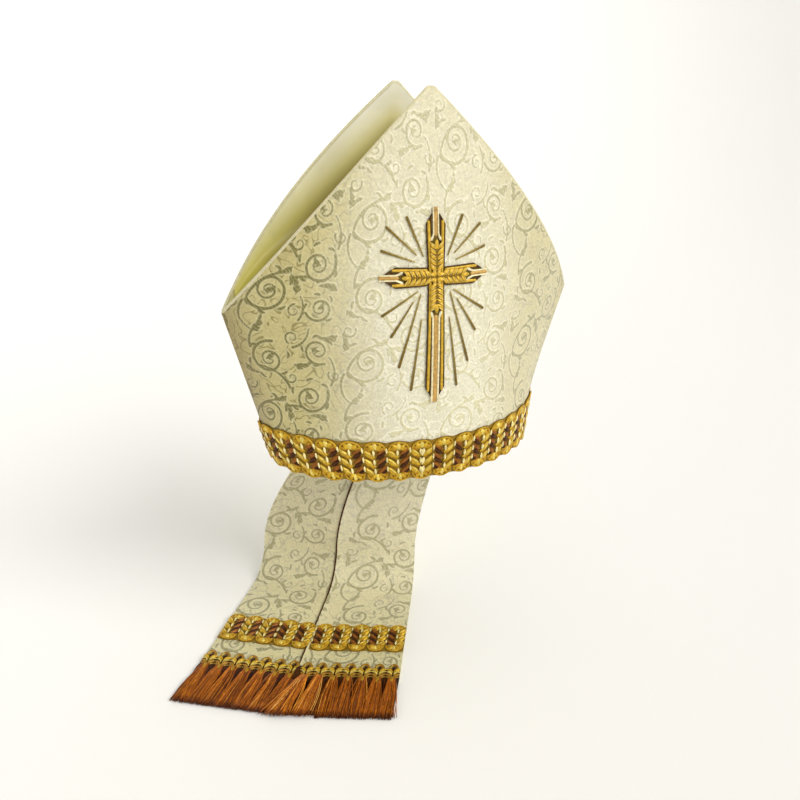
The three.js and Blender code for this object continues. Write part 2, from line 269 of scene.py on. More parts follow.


# %% [markdown]
# ## Materials
# Every finish here is a fabric, so each one is a Principled shader whose colour and bump come from
# nodes. One helper adds a node with its settings and links. Colours are written as they are picked, in
# sRGB, and one function turns them to the linear values that Blender mixes. Where many colours lie over
# one another, a table names each mix, its factor and the two colours between which it goes.

# %% Helpers for materials
def linear(hex_colour):
    """An sRGB colour such as 'E4DFBC' as linear red, green, blue and full alpha."""
    parts = [int(hex_colour[i : i + 2], 16) / 255 for i in (0, 2, 4)]
    turned = [c / 12.92 if c <= 0.04045 else ((c + 0.055) / 1.055) ** 2.4 for c in parts]
    return (*turned, 1.0)


def add_node(tree, kind, settings=None, out=0, stops=(), **inputs):
    """Adds a node and gives one of its outputs. Settings are its own fields. Inputs are numbered from i0
    or named, and each is a value, a colour in sRGB hex or a socket to link. Stops fill a colour ramp."""
    node = tree.nodes.new(kind)
    for field, value in (settings or {}).items():
        setattr(node, field, value)
    for key, value in inputs.items():
        socket = node.inputs[int(key[1:])] if key[1:].isdigit() else node.inputs[key]
        if isinstance(value, bpy.types.NodeSocket):
            tree.links.new(value, socket)
        else:
            socket.default_value = linear(value) if isinstance(value, str) else value
    if stops:
        elements = node.color_ramp.elements
        elements[0].position, elements[1].position = stops[0][0], stops[-1][0]
        for place, _ in stops[1:-1]:
            elements.new(place)
        for element, (_, colour) in zip(elements, stops):
            element.color = linear(colour)
    return node.outputs[out]


# %% A fabric's shader
def new_material(name, roughness, metallic=0.0, sheen=0.0, gloss=0.5):
    """A material with a Principled shader whose fixed values are set on its own sockets."""
    material = bpy.data.materials.new(name)
    material.use_nodes = True
    shader = material.node_tree.nodes["Principled BSDF"]
    shader.inputs["Roughness"].default_value = roughness
    shader.inputs["Metallic"].default_value = metallic
    shader.inputs["Sheen Weight"].default_value = sheen
    shader.inputs["Specular IOR Level"].default_value = gloss
    return material, material.node_tree, shader


colour_mix = {"data_type": "RGBA"}
colour_shade = {"data_type": "RGBA", "blend_type": "MULTIPLY"}

# %% [markdown]
# ## The brocade's woven scrolls
# Brocade is figured on the loom: scrolls and leaves of floating threads stand on a satin ground. The
# repeat is charted here as a designer draws it on point paper: stems that wind up in spirals, with
# fronds and small leaves that grow from them, all in millimetres and degrees. Each stroke has its own
# width from start to end. The chart holds, for each half millimetre, how deep a place lies inside a
# stroke or how far outside it.

# %% Sizes of the chart, and its stems and leaves
repeat_width = 78 * MM
repeat_height = 104 * MM
chart_step = 0.5 * MM
chart_reach = 3 * MM


def spiral(x, y, radius, inner, start, turns, width=2.0, tip=0.9):
    """Places along a spiral stem, with its half width at each. Negative turns wind the other way."""
    share = np.linspace(0, 1, max(int(abs(turns) * 20), 8))
    angle = math.radians(start) + 2 * math.pi * turns * share
    away = radius * (inner / radius) ** share
    half = (width + (tip - width) * share) / 2
    return np.stack([x + away * np.cos(angle), y + away * np.sin(angle), half], -1)


def walked(x, y, heading, length, bend, count):
    """Shares and places along a line that starts on a heading and curves evenly."""
    share = np.linspace(0, 1, count)
    angle = math.radians(heading) + math.radians(bend) * share
    steps = np.stack([np.cos(angle), np.sin(angle)], -1) * length / (count - 1)
    return share, np.array([x, y]) + np.concatenate([[[0, 0]], np.cumsum(steps[:-1], 0)])


def leaf(x, y, heading, length, width, bend=0.0):
    """Places along a leaf that swells from its stalk and closes at its tip, and its half width."""
    share, place = walked(x, y, heading, length, bend, 9)
    return np.column_stack([place, 0.25 + width / 2 * np.sin(np.pi * share**0.8) ** 0.8])


def stem(x, y, heading, length, bend, width=1.8, tip=1.4):
    """Places along a stem that curves evenly, with its half width at each."""
    share, place = walked(x, y, heading, length, bend, 14)
    return np.column_stack([place, (width + (tip - width) * share) / 2])


# %% Fronds and flicks
def frond(x, y, heading, length, bend, lobes, reach, sides=(1, -1)):
    """A curved stem with pointed lobes along its sides and a leaf at its end."""
    spine = stem(x, y, heading, length, bend, 1.5, 0.9)
    shapes = [spine]
    for number in range(lobes):
        share = (number + 0.6) / lobes
        at = spine[round(share * (len(spine) - 1))]
        size = reach * (1 - 0.45 * share)
        for side in sides:
            turn = heading + bend * share + side * (70 - 30 * share)
            shapes.append(leaf(at[0], at[1], turn, size, 0.3 * size, -side * 55))
    shapes.append(leaf(spine[-1][0], spine[-1][1], heading + bend, 0.8 * reach, 0.24 * reach))
    return shapes


def flicks(x, y, radius, angles, length, spin):
    """Small leaves that curl off the outside of a spiral, leaning the way it winds."""
    shapes = []
    for angle in angles:
        turn = math.radians(angle)
        at_x, at_y = x + radius * math.cos(turn), y + radius * math.sin(turn)
        shapes.append(leaf(at_x, at_y, angle + spin * 55, length, 0.25 * length, spin * 70))
    return shapes


# %% The motif's strokes
motif = [
    spiral(22, 26, 17.5, 3.6, -150, 1.85, 2.5, 1.3),
    *frond(19, 26, -20, 6.5, 60, 3, 4.2),
    *flicks(22, 26, 16.5, (15, 60, 120, 205, 250, 300), 7.5, 1),
    spiral(58, 46, 15, 3.2, 30, -1.8, 2.4, 1.2),
    *frond(60, 46, 170, 6, -60, 3, 4.0),
    *flicks(58, 46, 14, (350, 60, 110, 175, 235), 7, -1),
    spiral(24, 74, 15.5, 3.4, 80, 1.75, 2.4, 1.2),
    *frond(22, 74, 20, 6, 50, 3, 4.0),
    *flicks(24, 74, 14.5, (10, 130, 185, 240, 310), 7, 1),
    spiral(61, 85, 11.5, 2.8, -60, -1.6, 2.1, 1.1),
    *flicks(61, 85, 10.5, (50, 110, 190, 280), 6, -1),
    *frond(62, 85, 200, 4.5, -60, 2, 3.4),
    spiral(62, 14, 11, 2.6, 200, 1.6, 2.1, 1.1),
    *flicks(62, 14, 10, (30, 90, 160, 300), 6, 1),
    *frond(61, 14, 20, 4.5, 50, 2, 3.4),
    stem(4, 16, 250, 26, 80, 2.2, 1.4),
    stem(7, 20, 70, 34, -70, 2.2, 1.4),
    stem(41, 52, 120, 30, 60, 2.2, 1.4),
    stem(40, 36, 20, 20, -60, 2.0, 1.3),
    stem(42, 86, 20, 22, 70, 2.0, 1.3),
    stem(10, 82, 100, 26, -80, 2.2, 1.4),
    stem(73, 58, 70, 24, 60, 2.0, 1.3),
    stem(47, 4, 60, 20, 70, 2.0, 1.3),
    spiral(42, 61, 5.5, 1.6, 180, 1.1, 1.6, 0.9),
    spiral(7, 50, 6, 1.6, 20, -1.2, 1.6, 0.9),
    spiral(75, 66, 5.5, 1.6, 150, 1.2, 1.6, 0.9),
    spiral(42, 94, 6, 1.6, 240, -1.2, 1.6, 0.9),
    spiral(43, 11, 5.5, 1.6, 90, 1.1, 1.6, 0.9),
    *frond(43, 24, 80, 13, 50, 5, 4.6),
    *frond(3, 34, 60, 12, 60, 5, 4.4),
    *frond(12, 96, 30, 14, 60, 5, 4.6),
    *frond(44, 72, 340, 12, 70, 5, 4.4),
    *frond(76, 98, 220, 13, -60, 5, 4.4),
    *frond(74, 28, 140, 12, 50, 5, 4.4),
    *frond(38, 44, 230, 9, -50, 4, 4.0),
    *frond(5, 66, 300, 10, 60, 4, 4.2),
]


# %% Draw the chart
def chart_of(strokes):
    """The chart of depth inside the strokes, two repeats wide. The second stands half a repeat higher."""
    columns = round(2 * repeat_width / chart_step)
    rows = round(repeat_height / chart_step)
    chart = np.full((rows, columns), -chart_reach)
    for stroke in strokes:
        for shift_x, shift_y in ((0.0, 0.0), (repeat_width, repeat_height / 2)):
            places = stroke[:, :2] * MM + (shift_x, shift_y)
            for start, end, from_half, to_half in zip(
                places[:-1], places[1:], stroke[:-1, 2] * MM, stroke[1:, 2] * MM
            ):
                draw_stroke(chart, start, end, from_half, to_half)
    return chart


def draw_stroke(chart, start, end, from_half, to_half):
    """Raises the chart to the depth inside one straight bit of a stroke, wrapping at its edges."""
    margin = chart_reach + max(from_half, to_half)
    low = np.floor((np.minimum(start, end) - margin) / chart_step).astype(int)
    high = np.ceil((np.maximum(start, end) + margin) / chart_step).astype(int)
    column, row = np.meshgrid(np.arange(low[0], high[0] + 1), np.arange(low[1], high[1] + 1))
    place = np.stack([column, row], -1) * chart_step
    line = end - start
    share = np.clip(((place - start) @ line) / max(line @ line, 1e-12), 0, 1)
    away = np.linalg.norm(place - start - share[..., None] * line, axis=-1)
    depth = from_half + (to_half - from_half) * share - away
    where = (row % chart.shape[0], column % chart.shape[1])
    chart[where] = np.maximum(chart[where], depth)


scroll_chart = chart_of(motif)
print("Share of the cloth under the scrolls:", round(float((scroll_chart > 0).mean()), 3))


# %% Read the chart
def scroll_depth(across, along):
    """How deep places on the flat cloth lie inside the scrolls, read between the chart's points."""
    rows, columns = scroll_chart.shape
    column, row = across / chart_step, along / chart_step
    left, below = np.floor(column).astype(int), np.floor(row).astype(int)
    part_x, part_y = column - left, row - below

    def read(r, c):
        return scroll_chart[r % rows, c % columns]

    lower = read(below, left) * (1 - part_x) + read(below, left + 1) * part_x
    upper = read(below + 1, left) * (1 - part_x) + read(below + 1, left + 1) * part_x
    return lower * (1 - part_y) + upper * part_y


# %% [markdown]
# ### Brocade material
# Silk and rayon brocade has a satin ground, which is smooth and takes a broad soft light. Its scrolls are
# woven with threads that lie the other way, so they look deeper where the cloth turns from the light and
# nearly vanish where it faces it. That light and shade is painted: each point carries a contrast number.
# Where it is high, the ground, its veins and the scrolls are painted darker and more olive as shade, and
# where it is low they are painted pale as lit. A pale rim round each scroll is a painted highlight. Fine
# curled veins fill the ground between the scrolls. The warp ribs are 0.25 mm apart and the floating
# threads 0.4 mm, too fine to show, so they are drawn 1.3 and 1.7 mm apart.

# %% Brocade
rib_pitch = 1.3 * MM
float_pitch = 1.7 * MM


def brocade_material(name, lit_ground_tones, shaded_ground_tones):
    """Figured rayon brocade: ivory satin ground and olive-gold scrolls, both softly shining, with their
    light and shade painted by the contrast attribute.
    """
    material, tree, shader = new_material(name, roughness=0.45, sheen=0.2)
    depth = add_node(tree, "ShaderNodeAttribute", {"attribute_name": "scroll"}, "Fac")
    contrast = add_node(tree, "ShaderNodeAttribute", {"attribute_name": "contrast"}, "Fac")
    place = add_node(tree, "ShaderNodeTexCoord", out="Object")
    uv = add_node(tree, "ShaderNodeTexCoord", out="UV")
    figure = add_node(tree, "ShaderNodeMapRange", i0=depth, i1=-0.35 * MM, i2=0.3 * MM)
    outline = add_node(tree, "ShaderNodeMapRange", i0=depth, i1=-1.3 * MM, i2=-0.3 * MM)
    # Past 1, mostly near the left seam, the brocade is painted a deeper brown as shade.
    at_seam = add_node(tree, "ShaderNodeMapRange", i0=contrast, i1=1.0, i2=1.3, i3=0.0, i4=0.6)
    cloud = add_node(tree, "ShaderNodeTexNoise", Vector=place, Scale=26.0, Detail=4.0)
    grain = add_node(tree, "ShaderNodeTexNoise", Vector=place, Scale=520.0, Detail=3.0)
    floats = add_node(
        tree, "ShaderNodeTexWave", {"bands_direction": "DIAGONAL"}, "Fac",
        Vector=uv, Scale=math.pi / (10 * float_pitch), Distortion=3.0, Detail=1.0,
    )
    curls = add_node(tree, "ShaderNodeTexNoise", Vector=uv, Scale=70.0, Detail=0.5, Distortion=1.3)
    from_line = add_node(tree, "ShaderNodeMath", {"operation": "SUBTRACT"}, i0=curls, i1=0.5)
    from_line = add_node(tree, "ShaderNodeMath", {"operation": "ABSOLUTE"}, i0=from_line)
    vein = add_node(tree, "ShaderNodeMapRange", i0=from_line, i1=0.01, i2=0.032, i3=0.85, i4=0.0)
    # The contrast attribute mixes lit and shaded painted colours: facing is the ground painted lit and
    # turned the ground painted shaded, faint and strong are the scrolls painted lit and shaded, and the
    # veins darken the same way. The rim mix is a painted highlight round the scrolls, and the last mix
    # paints a brown shade near the left seam.
    table = {
        "facing": (cloud, *lit_ground_tones),
        "turned": (cloud, *shaded_ground_tones),
        "ground": (contrast, "facing", "turned"),
        "veins": (contrast, "F1ECD6", "857A3A"),
        "veined": (vein, "ground", "veins"),
        "faint": (floats, "D0C9A0", "D9D3B0"),
        "strong": (floats, "69622A", "8A8346"),
        "scroll": (contrast, "faint", "strong"),
        "rim": (contrast, "F1ECD8", "CEC593"),
        "rimmed": (outline, "veined", "rim"),
        "figured": (figure, "rimmed", "scroll"),
        "seam_shaded": (at_seam, "figured", "7C6636"),
    }
    made = {}
    for title, (factor, first, second) in table.items():
        first, second = made.get(first, first), made.get(second, second)
        made[title] = add_node(tree, "ShaderNodeMix", colour_mix, 2, i0=factor, i6=first, i7=second)
    fine = add_node(tree, "ShaderNodeMapRange", i0=grain, i1=0.3, i2=0.7, i3=0.86, i4=1.1)
    colour = add_node(tree, "ShaderNodeMix", colour_shade, 2, i0=1.0, i6=made["seam_shaded"], i7=fine)
    ribs = add_node(
        tree, "ShaderNodeTexWave", {"bands_direction": "Y"}, "Fac",
        Vector=uv, Scale=math.pi / (10 * rib_pitch), Distortion=0.4,
    )
    raised = grain
    for pattern, strength in ((ribs, 0.2), (vein, 0.9), (figure, 1.6)):
        raised = add_node(
            tree, "ShaderNodeMath", {"operation": "MULTIPLY_ADD"}, i0=pattern, i1=strength, i2=raised
        )
    bump = add_node(tree, "ShaderNodeBump", Strength=0.7, Distance=0.3 * MM, Height=raised)
    rough = add_node(tree, "ShaderNodeMapRange", i0=figure, i3=0.48, i4=0.36)
    tree.links.new(colour, shader.inputs["Base Color"])
    tree.links.new(rough, shader.inputs["Roughness"])
    tree.links.new(bump, shader.inputs["Normal"])
    return material


# %% Lining satin
def satin_material(name):
    """Plain lining satin, painted pale where it is open to the light and deeper olive down between the
    horns, as painted shade, and paler higher up.
    """
    material, tree, shader = new_material(name, roughness=0.42, sheen=0.2)
    trough_shade = add_node(tree, "ShaderNodeAttribute", {"attribute_name": "trough_shade"}, "Fac")
    place = add_node(tree, "ShaderNodeTexCoord", out="Object")
    stretched = add_node(tree, "ShaderNodeMapping", Vector=place, Scale=(9.0, 40.0, 9.0))
    streak = add_node(tree, "ShaderNodeTexNoise", Vector=stretched, Scale=3.0, Detail=4.0)
    grain = add_node(tree, "ShaderNodeTexNoise", Vector=place, Scale=1100.0)
    bump = add_node(tree, "ShaderNodeBump", Strength=0.25, Distance=0.1 * MM, Height=grain)
    shade = add_node(tree, "ShaderNodeMapRange", i0=streak, i1=0.3, i2=0.7, i3=0.92, i4=1.04)
    height = add_node(tree, "ShaderNodeSeparateXYZ", out="Z", Vector=place)
    upper = add_node(tree, "ShaderNodeMapRange", i0=height, i1=0.15, i2=0.27)
    low = add_node(tree, "ShaderNodeValToRGB", stops=low_stops, i0=trough_shade)
    high = add_node(tree, "ShaderNodeValToRGB", stops=high_stops, i0=trough_shade)
    colour = add_node(tree, "ShaderNodeMix", colour_mix, 2, i0=upper, i6=low, i7=high)
    colour = add_node(tree, "ShaderNodeMix", colour_shade, 2, i0=1.0, i6=colour, i7=shade)
    tree.links.new(colour, shader.inputs["Base Color"])
    tree.links.new(bump, shader.inputs["Normal"])
    return material


# %% The three cloths
# Colours of the lining's painted shade, from pale at the horns' edges to deep olive in the trough:
# low_stops for the lower part and high_stops for the upper part.
low_stops = [(0.0, "ECE6A8"), (0.22, "E2DA84"), (0.45, "C8BD50"), (0.68, "86761E"), (0.9, "54420C")]
high_stops = [(0.0, "F8F5E2"), (0.3, "F2EDCC"), (0.5, "DED69C"), (0.72, "A4964C"), (1.0, "6A5A24")]
brocade = brocade_material("rayon_brocade", ("E6E2CC", "D4CEB0"), ("CEC28A", "B9AD70"))
# The lappets' brocade is a lighter copy, painted as lit, because the crown shades the lappets from the
# sun.
lit_lappet_brocade = brocade_material("rayon_brocade_painted_lit_for_lappets", ("FAF5E0", "EAE4C8"), ("D0C684", "C0B570"))
lining_satin = satin_material("lining_satin")
print("Cloths:", brocade.name, lit_lappet_brocade.name, lining_satin.name)

# %% [markdown]
# ## The two panels
# Each panel is brocade stretched over a stiff board, 2.6 mm thick in all. A fine grid takes the outside,
# because the scrolls are drawn on its points and raised by a fraction of a millimetre. The inside is
# seen only from below, so the same grid is thinned there by a Decimate modifier that a point group
# holds to the inner wall.

# %% Sizes of the panels
panel_columns = 260
panel_rows = 210
cloth_lift = 0.05 * MM
scroll_relief = 0.16 * MM
relief_slope = 0.8 * MM
inner_share = 0.12
# The brocade's painted light and shade: pale in the middle, painted shade that grows towards the sides and
# the peak, weaker at the right, and a brown painted shade at the left seam.
plain_middle = 0.16
contrast_grows = 0.56
right_contrast = 0.6
seam_shade_width = 0.16
seam_shade_strength = 0.3
peak_tone_from = 160 * MM
peak_contrast = 0.35


def half_girth(z):
    """Length of cloth from the middle to the side seam at each height, measured along the section."""
    heights = np.linspace(0, horn_top, 40)
    share = np.sin(np.linspace(0, math.pi / 2, 200))
    lengths = []
    for height in heights:
        width = crown_section(height)[0]
        depth = crown_depth(share * width, height)
        lengths.append(np.hypot(np.diff(share * width), np.diff(depth)).sum())
    return np.interp(z, heights, lengths)


# %% Places on a panel
def panel_spread(across, z):
    """Share of the half width for each column: even round the oval rim, and even in x above the sides."""
    rise = section_rise(z)
    return (1 - rise) * np.sin(across * math.pi / 2) + rise * across


def panel_place(side, lift):
    """Places on a panel, lifted off the crown's surface. Side is -1 at the front and 1 at the back."""

    def place(across, along):
        z = along * horn_edge_height(side_half_width * across)
        half_width = np.minimum(crown_section(z)[0], side_half_width)
        x = (half_width + lift) * panel_spread(across, z)
        depth = np.maximum(crown_depth(x, z, -lift), seam_gap / 2)
        return x, side * depth, z

    return place


# %% Where the scrolls stand out
def eased(share):
    """A share that starts and ends gently."""
    return share * share * (3 - 2 * share)


def side_contrast(across):
    """How much painted shade the brocade gets: little in the middle, more at the sides, most at the left,
    and more again near the side seams.
    """
    strength = eased(np.clip((np.abs(across) - plain_middle) / contrast_grows, 0, 1))
    # Near the side seams more painted shade is added.
    seam_shaded = np.clip((np.abs(across) - 1 + seam_shade_width) / seam_shade_width, 0, 1) ** 1.5
    return np.where(across < 0, 1.0, right_contrast) * strength + seam_shade_strength * seam_shaded


# %% Faces and area of a panel
def line_inner_faces(piece):
    """Gives the second material to the faces that lie inside the middle of the panel's wall."""
    centres = np.zeros(len(piece.data.polygons) * 3)
    piece.data.polygons.foreach_get("center", centres)
    x, y, z = centres.reshape(-1, 3).T
    inside = np.abs(y) < crown_depth(x, z, panel_wall / 2)
    piece.data.polygons.foreach_set("material_index", inside.astype(np.int32))


def cloth_area(piece):
    """Area of one layer of a closed sheet of cloth."""
    areas = np.zeros(len(piece.data.polygons))
    piece.data.polygons.foreach_get("area", areas)
    return float(areas.sum()) / 2


# %% Make both panels
def make_panel(node, side):
    """One panel as a closed shell, its outer wall with the scrolls raised on it."""
    outer, across, along = bent_grid(f"{node}_brocade", panel_columns, panel_rows, panel_place(side, 0))
    heights = points_of(outer)[:, 2]
    flat_x = across * half_girth(heights)
    flat_z = heights + side * repeat_height / 5
    depth = scroll_depth(flat_x, flat_z)
    raised = cloth_lift + scroll_relief * np.clip(depth / relief_slope + 0.5, 0, 1)
    near_edge = np.minimum(along, 1 - along) < 0.5 / panel_rows
    raised = np.where(near_edge | (np.abs(across) > 0.999), 0, raised)
    move_points(outer, np.stack(panel_place(side, raised)(across, along), -1))
    set_uv(outer, flat_x, flat_z)
    set_point_value(outer, "scroll", depth)
    # The contrast attribute is painted shade, more towards the sides and the peak.
    near_peak = np.clip((points_of(outer)[:, 2] - peak_tone_from) / (horn_top - peak_tone_from), 0, 1)
    set_point_value(outer, "contrast", side_contrast(across) + peak_contrast * near_peak)
    inner, _, _ = bent_grid(f"{node}_inner", panel_columns, panel_rows, panel_place(side, -panel_wall))
    set_point_value(inner, "scroll", -chart_reach)
    set_point_value(inner, "contrast", 0)
    first_inner = len(outer.data.vertices)
    join_into(outer, inner)
    group = outer.vertex_groups.new(name="inner_wall")
    group.add(list(range(first_inner, len(outer.data.vertices))), 1.0, "REPLACE")
    bridge_walls(outer)
    thin = outer.modifiers.new("thin_inner_wall", "DECIMATE")
    thin.vertex_group = "inner_wall"
    thin.ratio = 0.5 + inner_share / 2
    bpy.ops.object.modifier_apply(modifier=thin.name)
    finish_normals(outer, 35)
    line_inner_faces(outer)
    dress(outer, "brocade", node, brocade, lining_satin)
    return outer


front = make_panel("front_panel", -1)
back = make_panel("back_panel", 1)

# %% [markdown]
# ## Edge folds
# The brocade is turned over the board along the slanted edges. The turned edge is a soft roll without
# scrolls, painted halfway to the brocade's shaded colour as shade, so that it is not too bright. A folded
# strip of cloth would do, but it is so narrow that a round cord gives the same light: a loft of small
# rings along the edge.

# %% Edge folds
fold_radius = 1.4 * MM
# How far the fold is painted shaded.
fold_contrast = 0.5
fold_drop = 0.7 * MM


def ring_cord(path, radius, sides=8):
    """Rings of a round cord along a path in space."""
    path = np.asarray(path, float)
    run = np.gradient(path, axis=0)
    run /= np.linalg.norm(run, axis=1)[:, None]
    aside = np.cross(run, (0.0, 1.0, 0.0))
    aside /= np.linalg.norm(aside, axis=1)[:, None]
    other = np.cross(run, aside)
    angle = 2 * np.pi * np.arange(sides) / sides
    radius = np.broadcast_to(radius, len(path))[:, None, None]
    round_part = np.cos(angle)[:, None] * aside[:, None] + np.sin(angle)[:, None] * other[:, None]
    return path[:, None] + radius * round_part


def make_fold(name, side):
    """The rolled edge of one horn, with rings closer together near the peak."""
    turn = np.linspace(-1, 1, 261)
    x = (side_half_width - fold_radius) * np.sign(turn) * np.abs(turn) ** 1.5
    z = horn_edge_height(x) - fold_drop
    y = side * crown_depth(x, z, panel_wall / 2)
    piece = joined(name, [(*loft(ring_cord(np.stack([x, y, z], -1), fold_radius)), 1.0)])
    set_point_value(piece, "scroll", -chart_reach)
    set_point_value(piece, "contrast", fold_contrast)
    dress(piece, "brocade", None, brocade)
    return piece


panel_flat = (2 * float(half_girth(side_height)), float(horn_top))
for panel, name, side in ((front, "front_edge_fold", -1), (back, "back_edge_fold", 1)):
    fold = make_fold(name, side)
    cloth_area(panel)
print("A panel's cloth:", panel_flat, "area", round(cloth_area(front), 4))

# %% [markdown]
# ## The lining between the horns
# A mitre folds flat, so its lining is one loose piece of satin that covers the inside of both horns and
# crosses between them in a trough. The trough's floor stands half the crown's depth above the side
# points, because the cloth has to reach there when the mitre is flat. The grid is spaced evenly along
# that curve, and soft folds pull across it.

# %% Sizes of the lining
lining_wall = 0.8 * MM
lining_gap = 0.6 * MM
lining_setback = 1.5 * MM
lining_end_inset = 12 * MM
lining_power = 4
lining_inset = panel_wall + lining_gap
lining_half_width = side_half_width - lining_end_inset
lining_columns = 130
lining_rows = 110
ripple_height = 0.9 * MM
ripple_pitch = 17 * MM
ripple_wander = 41 * MM
drop_to_spread = 0.6
open_depth = 8 * MM
trough_shade_reach = 1.15

even_turns = np.linspace(-math.pi / 2, math.pi / 2, 2001)
even_out = np.sign(even_turns) * np.abs(np.sin(even_turns)) ** (2 / lining_power)
even_down = np.maximum(np.cos(even_turns), 0) ** (2 / lining_power)
even_steps = np.hypot(np.diff(even_out) * drop_to_spread, np.diff(even_down))
even_length = np.concatenate([[0], np.cumsum(even_steps)])
even_length /= even_length[-1]


# %% The lining's form
def trough_floor(x):
    """Height of the lining's lowest line, half the crown's depth above the side points."""
    first = crown_depth(x, side_height, lining_inset)
    return side_height + crown_depth(x, side_height + first, lining_inset)


def lining_place(wall):
    """Places on the lining, from one horn's edge down through the trough and up to the other's."""

    def place(across, along):
        x = lining_half_width * np.sin(across * math.pi / 2)
        turn = np.interp(along, even_length, even_turns)
        top = horn_edge_height(x) - lining_setback
        down = np.maximum(np.cos(turn), 0) ** (2 / lining_power)
        folds = 0.5 + 0.5 * np.sin(x / ripple_pitch + 2.2 * np.sin(x / ripple_wander) + 1.5 * turn)
        folds *= ripple_height * np.clip(down * 2.2, 0, 1) * (1 - across**2)
        z = top - (top - trough_floor(x) - wall - folds) * down
        out = np.sign(turn) * np.abs(np.sin(turn)) ** (2 / lining_power)
        return x, out * (crown_depth(x, z, lining_inset + wall + folds)), z

    return place


# %% Helper for closed sheets of cloth
def closed_cloth(name, columns, rows, outer_place, inner_place, lined=False):
    """A closed sheet of cloth between two walls of the same grid. Lined cloth has the second material on
    its inner wall."""
    outer, across, along = bent_grid(name, columns, rows, outer_place)
    inner, _, _ = bent_grid(f"{name}_inner", columns, rows, inner_place)
    wall_faces = len(outer.data.polygons)
    join_into(outer, inner)
    bridge_walls(outer)
    layers = np.zeros(len(outer.data.polygons), np.int32)
    layers[wall_faces : 2 * wall_faces] = lined
    outer.data.polygons.foreach_set("material_index", layers)
    return outer, across, along


# %% Make the lining
lining, _, _ = closed_cloth(
    "satin_lining", lining_columns, lining_rows, lining_place(lining_wall), lining_place(0)
)
finish_normals(lining, 40)
x, y, z = points_of(lining).T
# Painted shade: how deep a place lies below the horn's edge, measured against the crown's depth there.
trough_shade = (horn_edge_height(x) - z) / (trough_shade_reach * np.maximum(crown_depth(x, z), open_depth))
set_point_value(lining, "trough_shade", np.clip(trough_shade, 0, 1))
dress(lining, "lining_satin", "crown_lining", lining_satin)
middle_line = np.stack(lining_place(0)(np.zeros(400), np.linspace(0, 1, 400)), -1)
lining_length = float(np.linalg.norm(np.diff(middle_line, axis=0), axis=1).sum())
cloth_area(lining)
print("The lining's cloth:", 2 * lining_half_width, lining_length, "area", round(cloth_area(lining), 4))

# %% [markdown]
# ## Threads on flat cloth
# Braid and embroidery are worked flat and then lie on the form. So each petal, cord and stitch is made
# on flat cloth, by how far across, how far along and how far off the cloth it is, and a place function
# carries it to the rim, the panel or a lappet. Tones pick a thread's colour in the material.

# %% Helpers for threads, and the tones of their colours
dark_tone, ribbon_tone, mauve_tone, tan_tone = 0.0, 0.1, 0.2, 0.4
gold_tone, amber_tone, straw_tone, cream_tone = 0.6, 0.75, 0.88, 1.0
loop_tone = 0.3
lobe_edge_tone = 0.68


def strand(path, half_width, half_height, sides=6):
    """Rings of an oval strand along a path on flat cloth."""
    path = np.asarray(path, float)
    run = np.gradient(path, axis=0)
    aside = np.stack([-run[:, 1], run[:, 0], 0 * run[:, 0]], -1)
    aside /= np.maximum(np.linalg.norm(aside, axis=1), 1e-12)[:, None]
    angle = 2 * np.pi * np.arange(sides) / sides
    wide = np.broadcast_to(half_width, len(path))[:, None, None] * np.cos(angle)[:, None]
    high = np.broadcast_to(half_height, len(path))[:, None, None] * np.sin(angle)[:, None]
    return path[:, None] + wide * aside[:, None] + high * np.array([0.0, 0.0, 1.0])


def petal(start, end, width, height, off, steps=5, sides=6, bow=0.0):
    """Rings of a plump petal between two places on flat cloth, bowed aside by a share of its length."""
    start, end = np.array(start, float), np.array(end, float)
    share = np.linspace(0, 1, steps + 1)
    run = end - start
    bowed = (bow * np.sin(np.pi * share))[:, None] * (-run[1], run[0])
    middle = start + share[:, None] * run + bowed
    swell = np.maximum(np.sin(np.pi * np.clip(share, 0.04, 0.96)) ** 0.65, 0.12)
    path = np.column_stack([middle, off + 0 * share])
    return strand(path, width / 2 * swell, height / 2 * swell, sides)


def arch(centre, radius_across, radius_along, first, last, width, height, off, steps=10, sides=6):
    """Rings of a cord that runs round part of an oval, between two angles in degrees."""
    angle = np.radians(np.linspace(first, last, steps + 1))
    across, along = centre[0] + radius_across * np.cos(angle), centre[1] + radius_along * np.sin(angle)
    path = np.column_stack([across, along, off + 0 * angle])
    return strand(path, width / 2, height / 2, sides)


def laid(rings, place, tone):
    """A shape for joined: rings on flat cloth, carried to the object by a place function."""
    points, faces = loft(rings)
    return np.stack(place(points[:, 0], points[:, 1], points[:, 2]), -1), faces, tone


# %% [markdown]
# ### Metal thread
# Gold braid and gold embroidery are worked in metal thread: a thin gilt strip wound round a core. It
# shines like metal, but each winding breaks the light, so the gloss is broad. The browns on the braid's
# ears are painted shade, on the side of each ear that turns from the light, and their pale petals are
# painted highlights. The windings are 0.3 mm apart, and are drawn 0.8 mm apart so that they show.

